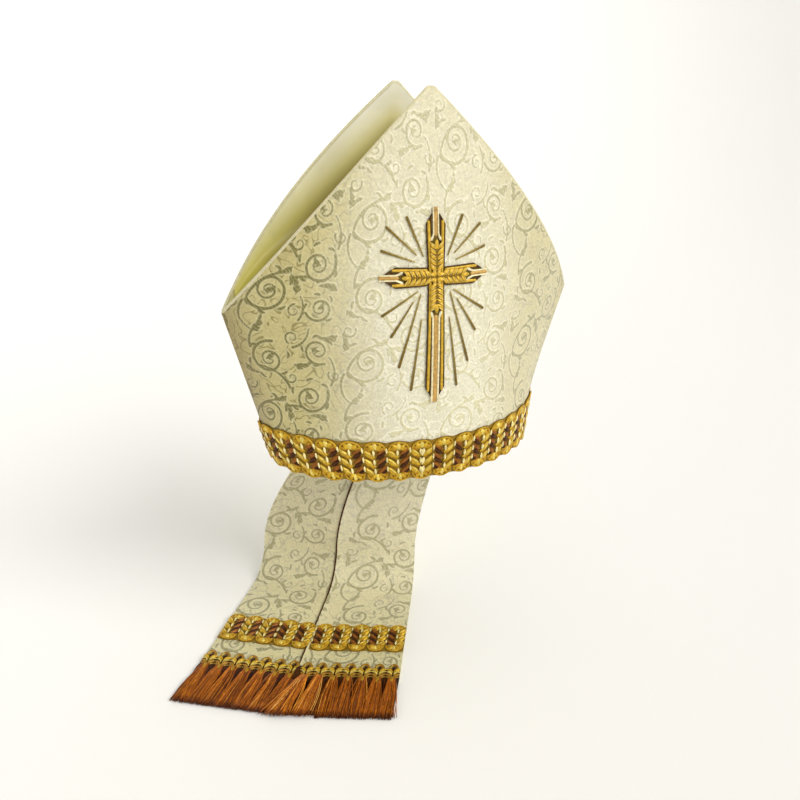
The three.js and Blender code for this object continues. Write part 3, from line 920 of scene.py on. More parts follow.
# %% Thread materials
def thread_material(name, stops, roughness, metallic, winding, depth):
    """Wound thread whose colour is picked by each strand's tone."""
    material, tree, shader = new_material(name, roughness=roughness, metallic=metallic, gloss=0.3)
    tone = add_node(tree, "ShaderNodeAttribute", {"attribute_name": "tone"}, "Fac")
    place = add_node(tree, "ShaderNodeTexCoord", out="Object")
    speck = add_node(tree, "ShaderNodeTexNoise", Vector=place, Scale=420.0, Detail=2.0)
    wound = add_node(
        tree, "ShaderNodeTexWave", {"bands_direction": "DIAGONAL"}, "Fac",
        Vector=place, Scale=math.pi / (10 * winding), Distortion=1.5,
    )
    base = add_node(tree, "ShaderNodeValToRGB", stops=stops, i0=tone)
    shade = add_node(tree, "ShaderNodeMapRange", i0=speck, i1=0.3, i2=0.7, i3=0.72, i4=1.18)
    colour = add_node(tree, "ShaderNodeMix", colour_shade, 2, i0=1.0, i6=base, i7=shade)
    bump = add_node(tree, "ShaderNodeBump", Strength=0.6, Distance=depth, Height=wound)
    tree.links.new(colour, shader.inputs["Base Color"])
    tree.links.new(bump, shader.inputs["Normal"])
    return material


braid_stops = [
    (dark_tone, "4A2402"), (ribbon_tone, "9A7A24"), (mauve_tone, "965A1C"), (tan_tone, "B8942E"),
    (gold_tone, "D2AA2C"), (amber_tone, "B4881A"), (straw_tone, "E8D068"), (cream_tone, "F6E8A8"),
]
gold_braid = thread_material("gilt_braid", braid_stops, 0.36, 0.35, 0.8 * MM, 0.15 * MM)
embroidery_stops = [
    (dark_tone, "4C3410"), (ribbon_tone, "745E20"), (mauve_tone, "A38E48"), (tan_tone, "C69E58"),
    (gold_tone, "D4AC38"), (amber_tone, "8A6C1C"), (straw_tone, "EBD078"), (cream_tone, "F6EBC2"),
]
gold_stitches = thread_material("gilt_satin_stitch", embroidery_stops, 0.4, 0.25, 0.7 * MM, 0.1 * MM)
print("Threads:", gold_braid.name, gold_stitches.name)

# %% [markdown]
# ## The galloon round the rim
# The galloon is a plaited wheat-ear braid. Each ear has three rows of grains in a V, and closes in a
# round lobe above and below. The side of each ear that turns away from the light is painted dark brown
# and mauve as shade, mirrored between the two halves of the rim, and pale petals on the grains are
# painted highlights. One ear is made as a list of flat shapes and laid 34 times round the rim, on a
# narrow ribbon whose edges follow the lobes.

# %% Sizes of the galloon
galloon_height = 34 * MM
galloon_repeat = 17 * MM
galloon_scallop = 1.4 * MM
trim_gap = 0.3 * MM
ribbon_wall = 0.7 * MM
ribbon_rows = 8
ear_rows = 3

rim_angles = np.linspace(0, 2 * math.pi, 1441)
rim_x, rim_y = rim_half_width * np.sin(rim_angles), rim_half_depth * np.cos(rim_angles)
rim_steps = np.hypot(np.diff(rim_x), np.diff(rim_y))
rim_lengths = np.concatenate([[0], np.cumsum(rim_steps)])
rim_length = rim_lengths[-1]
rim_repeats = round(rim_length / galloon_repeat)
rim_pitch = rim_length / rim_repeats


# %% Places on the rim
def on_rim(along, up, out):
    """A place on the crown by its way round the rim from the middle of the front, and its height."""
    angle = np.interp(along % rim_length, rim_lengths, rim_angles)
    half_width, half_depth, power = crown_section(up)
    depth = (half_depth + out) * np.abs(np.cos(angle)) ** (2 * power)
    return (half_width + out) * np.sin(angle), -np.sign(np.cos(angle)) * depth, up


def scallop(repeats):
    """How far the ribbon's edge drops back: not at all at a lobe's middle, fully between two lobes."""
    return galloon_scallop * (1 - np.abs(np.sin(math.pi * repeats)))


# %% One ear of the braid
def ear_shapes(pitch, shaded_side, off):
    """Flat shapes of one ear, centred across. The shaded side is -1 or 1: its strands are painted dark
    brown and mauve as shade, with a cream painted highlight. It is 0 for an even ear, which has a cream
    painted highlight down its middle. On the lit side the straw and cream petals are painted highlights.
    Each strand is laid from a start to an end, as a share of half the pitch and millimetres up, with its
    width, height and lift in millimetres."""
    half = pitch / 2
    shapes = []

    def lay(start, end, width, height, lift, tone, bow=0.0, steps=5):
        places = [(share * half, up * MM) for share, up in (start, end)]
        shape = petal(*places, width * MM, height * MM, off + lift * MM, steps, 6, bow)
        shapes.append((shape, tone))

    for row in range(ear_rows):
        up = 4.6 + row * 7.8
        for side in (-1, 1):
            # The shaded side: dark brown and mauve strands as painted shade, and a cream painted
            # highlight.
            if side == shaded_side:
                lay((0.04 * side, up - 1.0), (0.86 * side, up + 5.0), 3.3, 2.2, 0.7, dark_tone)
                lay((0.08 * side, up + 2.9), (0.9 * side, up + 8.9), 3.1, 2.6, 0.9, mauve_tone)
                lay((0.95 * side, up + 4.4), (0.95 * side, up + 9.0), 1.7, 1.7, 1.5, cream_tone, steps=4)
            else:
                # The lit side: gold grains, with straw and cream petals as painted highlights.
                lean = -side * 0.1
                lay((0.06 * side, up + 0.4), (0.94 * side, up + 7.2), 4.7, 2.6, 0.8, gold_tone, lean)
                lay((0.08 * side, up - 1.8), (0.72 * side, up + 2.8), 1.7, 1.7, 1.2, amber_tone, steps=4)
                lay((0.3 * side, up + 2.8), (0.86 * side, up + 7.0), 1.3, 1.5, 2.0, straw_tone, steps=4)
                lay((0.14 * side, up + 2.4), (0.14 * side, up + 7.4), 2.0, 1.9, 1.9, cream_tone, steps=4)
        # An even ear gets a cream painted highlight down its middle.
        if shaded_side == 0:
            lay((0.0, up + 1.0), (0.0, up + 6.8), 2.2, 2.0, 2.2, cream_tone, steps=4)
    for base, flip in ((27.2, 1), (6.8, -1)):
        for turn in (12, 51, 90, 129, 168):
            aside, rise = math.cos(math.radians(turn)), math.sin(math.radians(turn))
            tone = straw_tone if turn == 90 else (gold_tone if turn in (51, 129) else amber_tone)
            lay((0.15 * aside, base), (0.84 * aside, base + flip * 6.0 * rise), 3.9, 2.6, 0.8, tone)
        size = (0.86 * half, flip * 6.3 * MM, 0, 180, 1.6 * MM, 1.8 * MM, off + 0.9 * MM)
        shapes.append((arch((0, base * MM), *size), lobe_edge_tone))
    return shapes


# %% The ribbon under the ears
def ribbon_place(out):
    """Places on the rim's ribbon, at a distance off the crown."""

    def place(across, along):
        dip = scallop((across + 1) / 2 * rim_repeats)
        up = dip + (galloon_height - 2 * dip) * along
        return on_rim((across + 1) / 2 * rim_length, up, out)

    return place


def braided(name, ear_list, repeats, ribbon_at):
    """A galloon of one piece: its ears, and the ribbon that they are worked on."""
    ears = joined(f"{name}_ears", ear_list)
    outer, inner = ribbon_at(trim_gap + ribbon_wall), ribbon_at(trim_gap)
    ribbon, _, _ = closed_cloth(name, repeats * 10, ribbon_rows, outer, inner)
    set_point_value(ribbon, "tone", ribbon_tone)
    finish_normals(ribbon)
    join_into(ribbon, ears)
    return ribbon


# %% Rim galloon
rim_shapes = []
for index in range(rim_repeats):
    signed = index if index < rim_repeats / 2 else index - rim_repeats
    # Which side of each ear is painted as shade, mirrored between the two halves of the rim.
    brown = 0 if signed == -1 else (-1 if signed >= 0 else 1)
    centre = (index + 0.5) * rim_pitch
    for rings, tone in ear_shapes(rim_pitch, brown, trim_gap + ribbon_wall):
        rim_shapes.append(laid(rings + np.array([centre, 0.0, 0.0]), on_rim, tone))
rim_galloon = braided("rim_galloon", rim_shapes, rim_repeats, ribbon_place)
dress(rim_galloon, "galloon_braid", "base_galloon", gold_braid)
print("Ears round the rim:", rim_repeats, "each", round(rim_pitch / MM, 2), "mm wide")

# %% [markdown]
# ## The cross
# The cross is machine embroidery: narrow bands of satin stitch laid side by side, each stitch crossing
# its band. From the edge to the middle they are a dark outline, a gold rib, a dark line and a cream
# cord, with a tan band in the middle. The cords and the tan band are wider on the long foot of the
# stem. Every other ring of a band is a little lower, which draws its stitches.

# %% Sizes of the cross
cross_height = 162 * MM
cross_arm = 43 * MM
cross_top = 49 * MM
cross_foot = 97 * MM
cross_half_width = 6.2 * MM
cross_end_half_width = 8 * MM
cross_end_taper = 8 * MM
cross_tip_half_width = 2.4 * MM
relief_gap = 0.4 * MM
cross_relief = 1.4 * MM
ear_length = 26 * MM
ear_half_width = 5.3 * MM
stitch_pitch = 1.5 * MM
outline_setback = 4.2 * MM
lower_stitch = 0.62
cord_spread = 2.6 * MM
foot_core = 1.35

bands = [
    {"name": "outline", "share": 0.93, "half": 0.6 * MM, "high": 1.5 * MM, "tone": dark_tone},
    {"name": "rib", "share": 0.73, "half": 1.1 * MM, "high": 1.8 * MM, "tone": gold_tone},
    {"name": "line", "share": 0.5, "half": 0.6 * MM, "high": 1.3 * MM, "tone": dark_tone},
]
cream_cord = {"offset": 1.85 * MM, "half": 0.62 * MM, "high": 1.9 * MM, "tone": cream_tone}
tan_band = {"half": 1.3 * MM, "high": 1.7 * MM, "tone": tan_tone}


# %% Places on the front, and a band of stitches
def on_front(x, z, out):
    """A place function for the front panel: x, height, and distance off the crown."""
    return x, -crown_depth(x, z, -out), z


def bar_half_width(away, reach):
    """Half width of a bar at a distance from the crossing: it widens, then closes in a blunt point."""
    widened = cross_half_width + (cross_end_half_width - cross_half_width) * away / reach
    closing = np.clip((reach - away) / cross_end_taper, 0, 1)
    return cross_tip_half_width + (widened - cross_tip_half_width) * closing


def stitched(path, half_width, height, sides=8):
    """Rings of a satin-stitch band: every other ring is lower, so each pair is one stitch."""
    count = len(path)
    lower = np.where(np.arange(count) % 2 == 0, 1.0, lower_stitch)
    ends = np.where((np.arange(count) == 0) | (np.arange(count) == count - 1), 0.4, 1.0)
    return strand(path, half_width * ends, height / 2 * lower * ends, sides)


# %% The bands of one bar
def bar_shapes(heading, reach, start):
    """The bands of one bar of the cross, from near the crossing to its end, in a direction."""
    along_x, along_z = heading
    count = 2 * round((reach - start) / stitch_pitch)
    away = np.linspace(start, reach, count)
    shapes = []

    def add(offset, keep, half, high, tone):
        x = along_x * away - along_z * offset
        z = cross_height + along_z * away + along_x * offset
        path = np.column_stack([x, z, relief_gap + high / 2 + 0 * away])[keep]
        if len(path) > 3:
            half = np.broadcast_to(half, keep.shape)[keep]
            shapes.append(laid(stitched(path, half, high), on_front, tone))

    outer = bar_half_width(away + outline_setback, reach)
    steady = cross_half_width + (cross_end_half_width - cross_half_width) * away / reach
    for band in bands:
        follows = outer if band["name"] == "outline" else steady
        keep = (outer > steady * band["share"]) | (band["name"] == "outline")
        keep = keep & (away < reach - outline_setback)
        for side in (-1, 1):
            add(side * follows * band["share"], keep, band["half"], band["high"], band["tone"])
    core = foot_core if reach > cross_top else 1.0
    spread = np.clip((ear_length + 5 * MM - away) / (6 * MM), 0, 1)
    half = cream_cord["half"] * core + 0.6 * MM * spread
    for side in (-1, 1):
        offset = side * (cream_cord["offset"] * core + spread**1.5 * cord_spread)
        add(offset, away > ear_length - 1 * MM, half, cream_cord["high"], cream_cord["tone"])
    past_ear = away > ear_length + 2 * MM
    add(0 * away, past_ear, tan_band["half"] * core, tan_band["high"], tan_band["tone"])
    return shapes


def backing_shape(heading, reach, start):
    """A flat dark patch under a bar, so that nothing shows between its bands. Where it shows between the
    bands and past the bar's end, it is painted shade.
    """
    along_x, along_z = heading
    away = np.linspace(start, reach - 0.5 * MM, 30)
    out = np.full(len(away), relief_gap + 0.2 * MM)
    path = np.column_stack([along_x * away, cross_height + along_z * away, out])
    half = np.minimum(bar_half_width(away + outline_setback, reach), bar_half_width(away, reach))
    return laid(strand(path, half * 0.94, 0.35 * MM, 8), on_front, ribbon_tone)


# %% Cross stem and arms
arm_start = cross_half_width + 2 * trim_gap
cross_parts = {
    "cross_stem": [((0, 1), cross_top, 0.0), ((0, -1), cross_foot, 0.0)],
    "cross_arm_left": [((-1, 0), cross_arm, arm_start)],
    "cross_arm_right": [((1, 0), cross_arm, arm_start)],
}
for node, bars in cross_parts.items():
    shapes = []
    for heading, reach, start in bars:
        shapes.append(backing_shape(heading, reach, start))
        shapes.extend(bar_shapes(heading, reach, start))
    dress(joined(f"{node}_stitches", shapes), "outline_embroidery", node, gold_stitches)

# %% [markdown]
# ## Wheat ears and rays
# Four wheat ears lie on the cross with their grains pointing outwards, and fourteen rays stand round
# it. A grain is one plump petal with a thin pale one, its beard, over it. A ray is one narrow band of
# satin stitch that thins towards the cross. Its ends are given as shares of the cross's own reach, so
# the rays keep their places if the cross grows.

# %% Sizes of the wheat ears
grain_rows = 6
ear_headings = {"ear_top": (0, 1), "ear_foot": (0, -1), "ear_left": (-1, 0), "ear_right": (1, 0)}
ear_lift = relief_gap + cross_relief + trim_gap
first_grain = 1.2 * MM
grain_run = ear_length - 7 * MM


# %% Lay the grains
def turned(rings, heading):
    """Turns rings made along +Y on flat cloth to a heading from the crossing."""
    along_x, along_z = heading
    across, along, out = rings[..., 0], rings[..., 1], rings[..., 2]
    x = along_x * along - along_z * across
    z = cross_height + along_z * along + along_x * across
    return np.stack([x, z, out], -1)


for node, heading in ear_headings.items():
    flat = []
    for row in range(grain_rows):
        up = first_grain + row * grain_run / (grain_rows - 1)
        reach = min(ear_half_width * 0.86, up * 0.75 + 1.2 * MM)
        for side in (-1, 1):
            low, high = (side * 0.5 * MM, up), (side * reach, up + 4.6 * MM)
            grain = petal(low, high, 2.8 * MM, 2.0 * MM, ear_lift + 0.6 * MM, bow=-side * 0.12)
            low, high = (side * 1.0 * MM, up + 2.0 * MM), (side * (reach + 0.5 * MM), up + 4.4 * MM)
            beard = petal(low, high, 0.8 * MM, 0.9 * MM, ear_lift + 1.3 * MM, 3, 5)
            flat += [(grain, gold_tone), (beard, straw_tone)]
    low, high = (0, ear_length - 6 * MM), (0, ear_length + 0.5 * MM)
    flat.append((petal(low, high, 3.4 * MM, 1.8 * MM, ear_lift + 0.6 * MM), gold_tone))
    # A dark olive bed under the grains, which shows between them as painted shade.
    flat.append((petal((0, 0.2 * MM), (0, ear_length), 8.4 * MM, 0.9 * MM, ear_lift, 10, 8), amber_tone))
    shapes = [laid(turned(rings, heading), on_front, tone) for rings, tone in flat]
    dress(joined(f"{node}_grains", shapes), "gold_embroidery", node, gold_stitches)

# %% Rays
rays = [
    {"inner": (0.22, 0.29), "outer": (0.51, 0.88)},
    {"inner": (0.34, 0.32), "outer": (0.86, 0.74)},
    {"inner": (0.37, 0.225), "outer": (0.96, 0.4)},
    {"inner": (0.32, -0.105), "outer": (0.96, -0.29)},
    {"inner": (0.4, -0.18), "outer": (0.8, -0.455)},
    {"inner": (0.27, -0.125), "outer": (0.66, -0.7)},
    {"inner": (0.26, -0.32), "outer": (0.44, -0.89)},
]
ray_half_width = 1.05 * MM
ray_inner_half_width = 0.5 * MM
ray_relief = 1.0 * MM


def ray_end(side, shares):
    """One end of a ray, from its shares of the arm's and of the stem's reach."""
    across, up = shares
    reach = cross_top if up > 0 else cross_foot
    return np.array([side * across * cross_arm, cross_height + up * reach])


ray_ends = [(side, ray) for side in (-1, 1) for ray in rays]
for index, (side, ray) in enumerate(ray_ends, 1):
    start, end = ray_end(side, ray["inner"]), ray_end(side, ray["outer"])
    count = 2 * round(np.linalg.norm(end - start) / stitch_pitch)
    share = np.linspace(0, 1, count)
    out = np.full(count, relief_gap + ray_relief / 2)
    path = np.column_stack([start + share[:, None] * (end - start), out])
    half = ray_inner_half_width + (ray_half_width - ray_inner_half_width) * share
    tone = np.repeat(mauve_tone + (ribbon_tone - mauve_tone) * share, 6)
    stitches = laid(stitched(path, half, ray_relief, 6), on_front, tone)
    node = f"ray_{index:02d}"
    dress(joined(f"{node}_stitches", [stitches]), "gold_embroidery", node, gold_stitches)

# %% [markdown]
# ## The lappets
# Two bands of the same brocade, lined with satin, are sewn inside the back of the rim. They hang side
# by side, swing over to one side and bend forward where they meet the floor. Their middle surface is a
# formula, so the cloth, the braid and the fringe lie on one another without fitting.

# %% Sizes of the lappets
lappet_wall = 1.8 * MM
lappet_top_width = 64 * MM
lappet_end_width = 86 * MM
lappet_gap = 1.6 * MM
lappet_tuck = 14 * MM
lappet_drop = 175 * MM
lappet_bend = 32 * MM
lappet_lying = 147 * MM
lappet_turn = 30
meeting_aside = -42 * MM
meeting_back = 53 * MM
swing_power = 0.85
lappets = [
    {"side": "left", "sign": -1, "ruling": 28.5},
    {"side": "right", "sign": 1, "ruling": 20},
]

hang_height = lappet_drop - lappet_wall / 2 - lappet_bend
hang_end = lappet_tuck + hang_height
bend_end = hang_end + lappet_bend * math.pi / 2
lappet_length = bend_end + lappet_lying - lappet_bend
lappet_taper = math.atan((lappet_end_width - lappet_top_width) / 2 / lappet_length)


# %% The lappets' middle surface
def lappet_half_width(along):
    """Half the cloth's width at a distance from the tucked top."""
    return (lappet_top_width + (lappet_end_width - lappet_top_width) * along / lappet_length) / 2


def swing(along):
    """How far a lappet has swung aside: from 0 at the rim to 1 where it starts to bend."""
    fallen = np.clip((along - lappet_tuck) / hang_height, 0, 1)
    return eased(fallen**swing_power)


def lappet_middle(lappet, along, across):
    """The lappet's middle surface, by the distance from its tucked top and from -1 to 1 across."""
    sign, ruling = lappet["sign"], math.radians(lappet["ruling"])
    half_width = lappet_half_width(along)
    turn = math.radians(lappet_turn) - sign * lappet_taper
    bend = np.clip((along - hang_end) / lappet_bend, 0, math.pi / 2)
    forward = lappet_bend * (1 - np.cos(bend)) + np.maximum(along - bend_end, 0)
    from_meeting = sign * (lappet_half_width(hang_end) + lappet_gap / 2) + across * half_width
    swung_x = meeting_aside + math.cos(ruling) * from_meeting
    swung_y = meeting_back - math.sin(ruling) * from_meeting
    low = lappet_wall / 2 - lappet_drop + lappet_bend * (1 - np.sin(bend))
    z = lappet_tuck - along
    swung = swing(along)
    rim_x = sign * (half_width + lappet_gap / 2) + across * half_width
    rim_y = crown_depth(rim_x, np.maximum(z, 0), panel_wall + lining_gap + lappet_wall / 2)
    hanging = along <= hang_end
    x = np.where(hanging, rim_x + (swung_x - rim_x) * swung, swung_x - math.sin(turn) * forward)
    y = np.where(hanging, rim_y + (swung_y - rim_y) * swung, swung_y - math.cos(turn) * forward)
    return np.stack([x, y, np.where(hanging, z, low)], -1)


# %% Places on a lappet
def lappet_point(lappet, along, across, height):
    """A place off the middle surface, on the side that lies uppermost at the lappet's end."""
    step = 0.5 * MM
    down, up = (lappet_middle(lappet, along + way * step, across) for way in (1, -1))
    right, left = (lappet_middle(lappet, along, across + way * 0.05) for way in (1, -1))
    normal = np.cross(down - up, right - left)
    normal /= np.linalg.norm(normal, axis=-1)[..., None]
    return lappet_middle(lappet, along, across) + normal * np.asarray(height)[..., None]


def on_lappet(lappet, start):
    """A place function for trim: across and along in metres, from a distance down the lappet."""

    def place(across, along, out):
        down = start + along
        return lappet_point(lappet, down, across / lappet_half_width(down), lappet_wall / 2 + out).T

    return place


print("A lappet's length with its tuck:", round(lappet_length / MM, 1), "mm")

# %% [markdown]
# ### The lappets' brocade
# The scrolls are only drawn on a lappet, not raised, because the cloth is soft and pressed flat. The
# lappets take a lighter copy of the brocade, painted as lit, because the crown shades them from the sun.
# Their painted shade grows from the top towards the fringe, where ground and scrolls are painted darker
# and more olive, and the left lappet starts more shaded than the right. Where the two lappets meet, the
# right one laps over the left one, whose edge is pressed down by it. The closed shell has brocade on the
# side that lies uppermost and satin on the other.

# %% Sizes of the lappets' cloth
lappet_columns = 66
lappet_rows = 250
# Painted shade of the lappets' brocade, at the top of each lappet and at the fringe.
top_contrast = {"left": 0.2, "right": 0.02}
end_contrast = 0.8
overlap = 1.6 * MM
overlap_lift = 1.5 * MM
under_edge_gap = 0.1 * MM
under_edge_dip = 0.6 * MM


# %% Make the lappets' cloth
def lappet_wall_place(lappet, height):
    """Places on one wall of a lappet. The right one's inner edge lies over the left one's pressed edge."""

    def place(across, along):
        down = along * lappet_length
        inward = np.clip(-lappet["sign"] * across, 0, 1)
        narrower = np.maximum(lappet_half_width(hang_end) - lappet_half_width(down), 0) * swing(down)
        over = lappet["side"] == "right"
        run_on = narrower + lappet_gap / 2 + (overlap if over else -under_edge_gap)
        across = across - lappet["sign"] * inward**2 * run_on / lappet_half_width(down)
        lift = overlap_lift * inward**8 if over else -under_edge_dip * inward**12 * (height > 0)
        return lappet_point(lappet, down, across, height + lift).T

    return place


for lappet in lappets:
    side = lappet["side"]
    upper, under = (lappet_wall_place(lappet, height) for height in (lappet_wall / 2, -lappet_wall / 2))
    piece, across, along = closed_cloth(
        f"lappet_{side}_brocade", lappet_columns, lappet_rows, upper, under, lined=True
    )
    flat_x = across * lappet_half_width(along * lappet_length) + lappet["sign"] * repeat_width * 0.4
    flat_z = -along * lappet_length
    depth = scroll_depth(flat_x, flat_z)
    set_point_value(piece, "scroll", np.concatenate([depth, np.full(len(depth), -chart_reach)]))
    # Painted shade that grows from the top of the lappet to the fringe.
    at_top = top_contrast[side]
    set_point_value(piece, "contrast", np.tile(at_top + (end_contrast - at_top) * along, 2))
    set_uv(piece, np.tile(flat_x, 2), np.tile(flat_z, 2))
    finish_normals(piece, 40)
    # The lappets take the brocade's lighter copy, painted as lit.
    dress(piece, "brocade", f"lappet_{side}", lit_lappet_brocade, lining_satin)
    lappet["cloth"] = piece

# %% [markdown]
# ### The shadow cord between the lappets
# A dark shadow line runs down between the lappets. A shadow alone would be lost in soft light, so it is
# painted: a thin dark cord along the right lappet's inner edge stands for it, a loft of rings along the
# cloth's own edge.

# %% Painted shadow cord between the lappets
gap_shadow_cord_radius = 1.0 * MM
edge_points = 160
right_lappet = lappets[1]
on_inner_edge = lappet_wall_place(right_lappet, 0.0)
edge_line = np.stack(on_inner_edge(np.full(edge_points, -1.0), np.linspace(0, 1, edge_points)), -1)
gap_shadow_cord = joined("lappet_gap_shadow_cord", [(*loft(ring_cord(edge_line, gap_shadow_cord_radius)), dark_tone)])
dress(gap_shadow_cord, "galloon_braid", None, gold_braid)

# %% [markdown]
# ### The lappets' galloon
# Each lappet has one piece of the same braid across it, five ears wide, above the fringe. The ears of
# the rim are laid again, upside down, by the lappet's own place function.

# %% Sizes of the lappets' galloon
heading_length = 21 * MM
heading_overhang = 2 * MM
heading_to_galloon = 16 * MM
heading_start = lappet_length + heading_overhang - heading_length
galloon_start = heading_start - heading_to_galloon - galloon_height
lappet_repeats = round(lappet_end_width / galloon_repeat)
lappet_pitch = lappet_end_width / lappet_repeats
# Which side of each of the five ears is painted as shade.
shaded_sides = {"left": (1, 1, 1, -1, -1), "right": (-1, -1, -1, -1, -1)}


# %% Make the lappets' galloon
def lappet_ribbon_place(lappet, out):
    """Places on a lappet's ribbon, at a distance off the cloth."""

    def place(across, along):
        dip = scallop((across + 1) / 2 * lappet_repeats)
        down = galloon_start + dip + (galloon_height - 2 * dip) * (1 - along)
        return lappet_point(lappet, down, across, lappet_wall / 2 + out + 0 * across).T

    return place


for lappet in lappets:
    side = lappet["side"]
    shapes = []
    place = on_lappet(lappet, galloon_start + galloon_height)
    shrink = lappet_half_width(galloon_start + galloon_height / 2) * 2 / lappet_end_width
    for index, brown in enumerate(shaded_sides[side]):
        centre = (index + 0.5 - lappet_repeats / 2) * lappet_pitch * shrink
        for rings, tone in ear_shapes(lappet_pitch * shrink, brown, trim_gap + ribbon_wall):
            shapes.append(laid(rings * (1, -1, 1) + np.array([centre, 0.0, 0.0]), place, tone))
    ribbon_at = functools.partial(lappet_ribbon_place, lappet)
    lappet["galloon"] = braided(f"lappet_{side}_galloon", shapes, lappet_repeats, ribbon_at)
    dress(lappet["galloon"], "galloon_braid", f"lappet_galloon_{side}", gold_braid)

# %% [markdown]
# ## The fringe
# A fringe is a looped heading, woven in gold, from which bunches of silky rayon threads hang. Hair
# particles could make the threads, but here each thread is a thin tapered strand of its own. The threads
# of a bunch leave it close together, spread until they meet the next bunch, and lie on the floor, over a
# bed of wider dark threads that are painted shade between the bunches. The tip of each thread is painted
# darker, as the shade along the fringe's lower edge. Two bunches of the right lappet sweep over the left
# one, and their threads are painted lighter, as lit. All are drawn from one seeded source of chance, so
# the fringe is the same at every run.

# %% Finish and sizes of the fringe
fringe_stops = [
    (dark_tone, "220C02"), (mauve_tone, "5E2C06"), (tan_tone, "96500C"),
    (gold_tone, "BC6A12"), (amber_tone, "DC8C24"), (cream_tone, "F6C060"),
]
rayon_thread = thread_material("rayon_fringe_thread", fringe_stops, 0.34, 0.0, 1.2 * MM, 0.05 * MM)
fringe_bunches = 7
threads_in_bunch = 84
shade_bed_threads = 70
thread_radius = 0.42 * MM
thread_steps = 7
thread_sides = 4
shade_bed_thread_radius = 0.9 * MM
skirt_length = 39 * MM
end_shade = 0.3
left_lean = -5 * MM
swept_bunches = 2
flare_reach = 26 * MM
bed_rise = 1.9 * MM
bed_points = 41
fringe_chance = np.random.default_rng(7)


# %% One thread of the fringe
def fringe_thread(place, root, tip, begin, length, lift, wander, radius, tone, drop):
    """One thread from a place in the heading to the floor, as a thin strand that tapers, with its tip
    painted darker as shade.
    """
    share = np.linspace(0, 1, thread_steps + 1)
    across = root + (tip - root) * share**0.8 + wander * np.sin(np.pi * share)
    along = begin + length * share
    fallen = drop * np.clip((along - heading_length) / (8 * MM), 0, 1)
    path = np.column_stack([across, along, lift + 0.9 * MM * np.sin(np.pi * share) - fallen])
    thickness = radius * (1 - 0.35 * share)
    # The tip is painted darker as shade.
    tones = np.repeat(tone * np.where(share == 1, end_shade, 1), thread_sides)
    return laid(strand(path, thickness, thickness, thread_sides), place, tones)


# %% All threads of one fringe
def fringe_threads(lappet, place):
    """All the threads of one fringe: first the dark ones underneath, painted shade between the bunches,
    then bunch by bunch.
    """
    shapes = []
    width = 2 * lappet_half_width(lappet_length)
    pitch = width / fringe_bunches
    lean = left_lean if lappet["side"] == "left" else 0.0
    fall = lappet_wall + trim_gap
    begin, length = heading_length - 6 * MM, skirt_length * 0.9 + 6 * MM
    # Dark bed threads, painted shade in the gaps between the bunches.
    for spot in np.linspace(-0.49, 0.49, shade_bed_threads):
        root = spot * width
        tone = fringe_chance.uniform(0.0, 0.14)
        shapes.append(fringe_thread(
            place, root, root + lean, begin, length, 0.1 * MM, 0, shade_bed_thread_radius, tone, fall
        ))
    for bunch in range(fringe_bunches):
        middle = (bunch + 0.5 - fringe_bunches / 2) * pitch
        swept_over = lappet["side"] == "right" and bunch < swept_bunches
        flare = flare_reach * (1 - 0.6 * bunch) if swept_over else 0.0
        for _ in range(threads_in_bunch):
            spot = fringe_chance.uniform(-1, 1)
            layer = fringe_chance.uniform(0, 1)
            root = middle + spot * 0.24 * pitch
            swept = flare * fringe_chance.uniform(0.3, 1) * (0.5 + 0.5 * layer)
            tip = middle + spot * 0.5 * pitch + fringe_chance.normal(0, 1.7 * MM) + lean - swept
            length = 4 * MM + skirt_length * fringe_chance.uniform(0.94, 1.01)
            wander = fringe_chance.normal(0, 1.2 * MM)
            # Threads that sweep over the other fringe are painted lighter, as lit.
            tone = np.clip(fringe_chance.normal(0.45, 0.17) + (0.12 if swept_over else 0), 0.1, 0.95)
            lift = (0.6 + 1.6 * layer + (1.6 if swept_over else 0)) * MM
            shapes.append(fringe_thread(
                place, root, tip, heading_length - 4 * MM, length, lift, wander, thread_radius, tone, fall
            ))
    return shapes


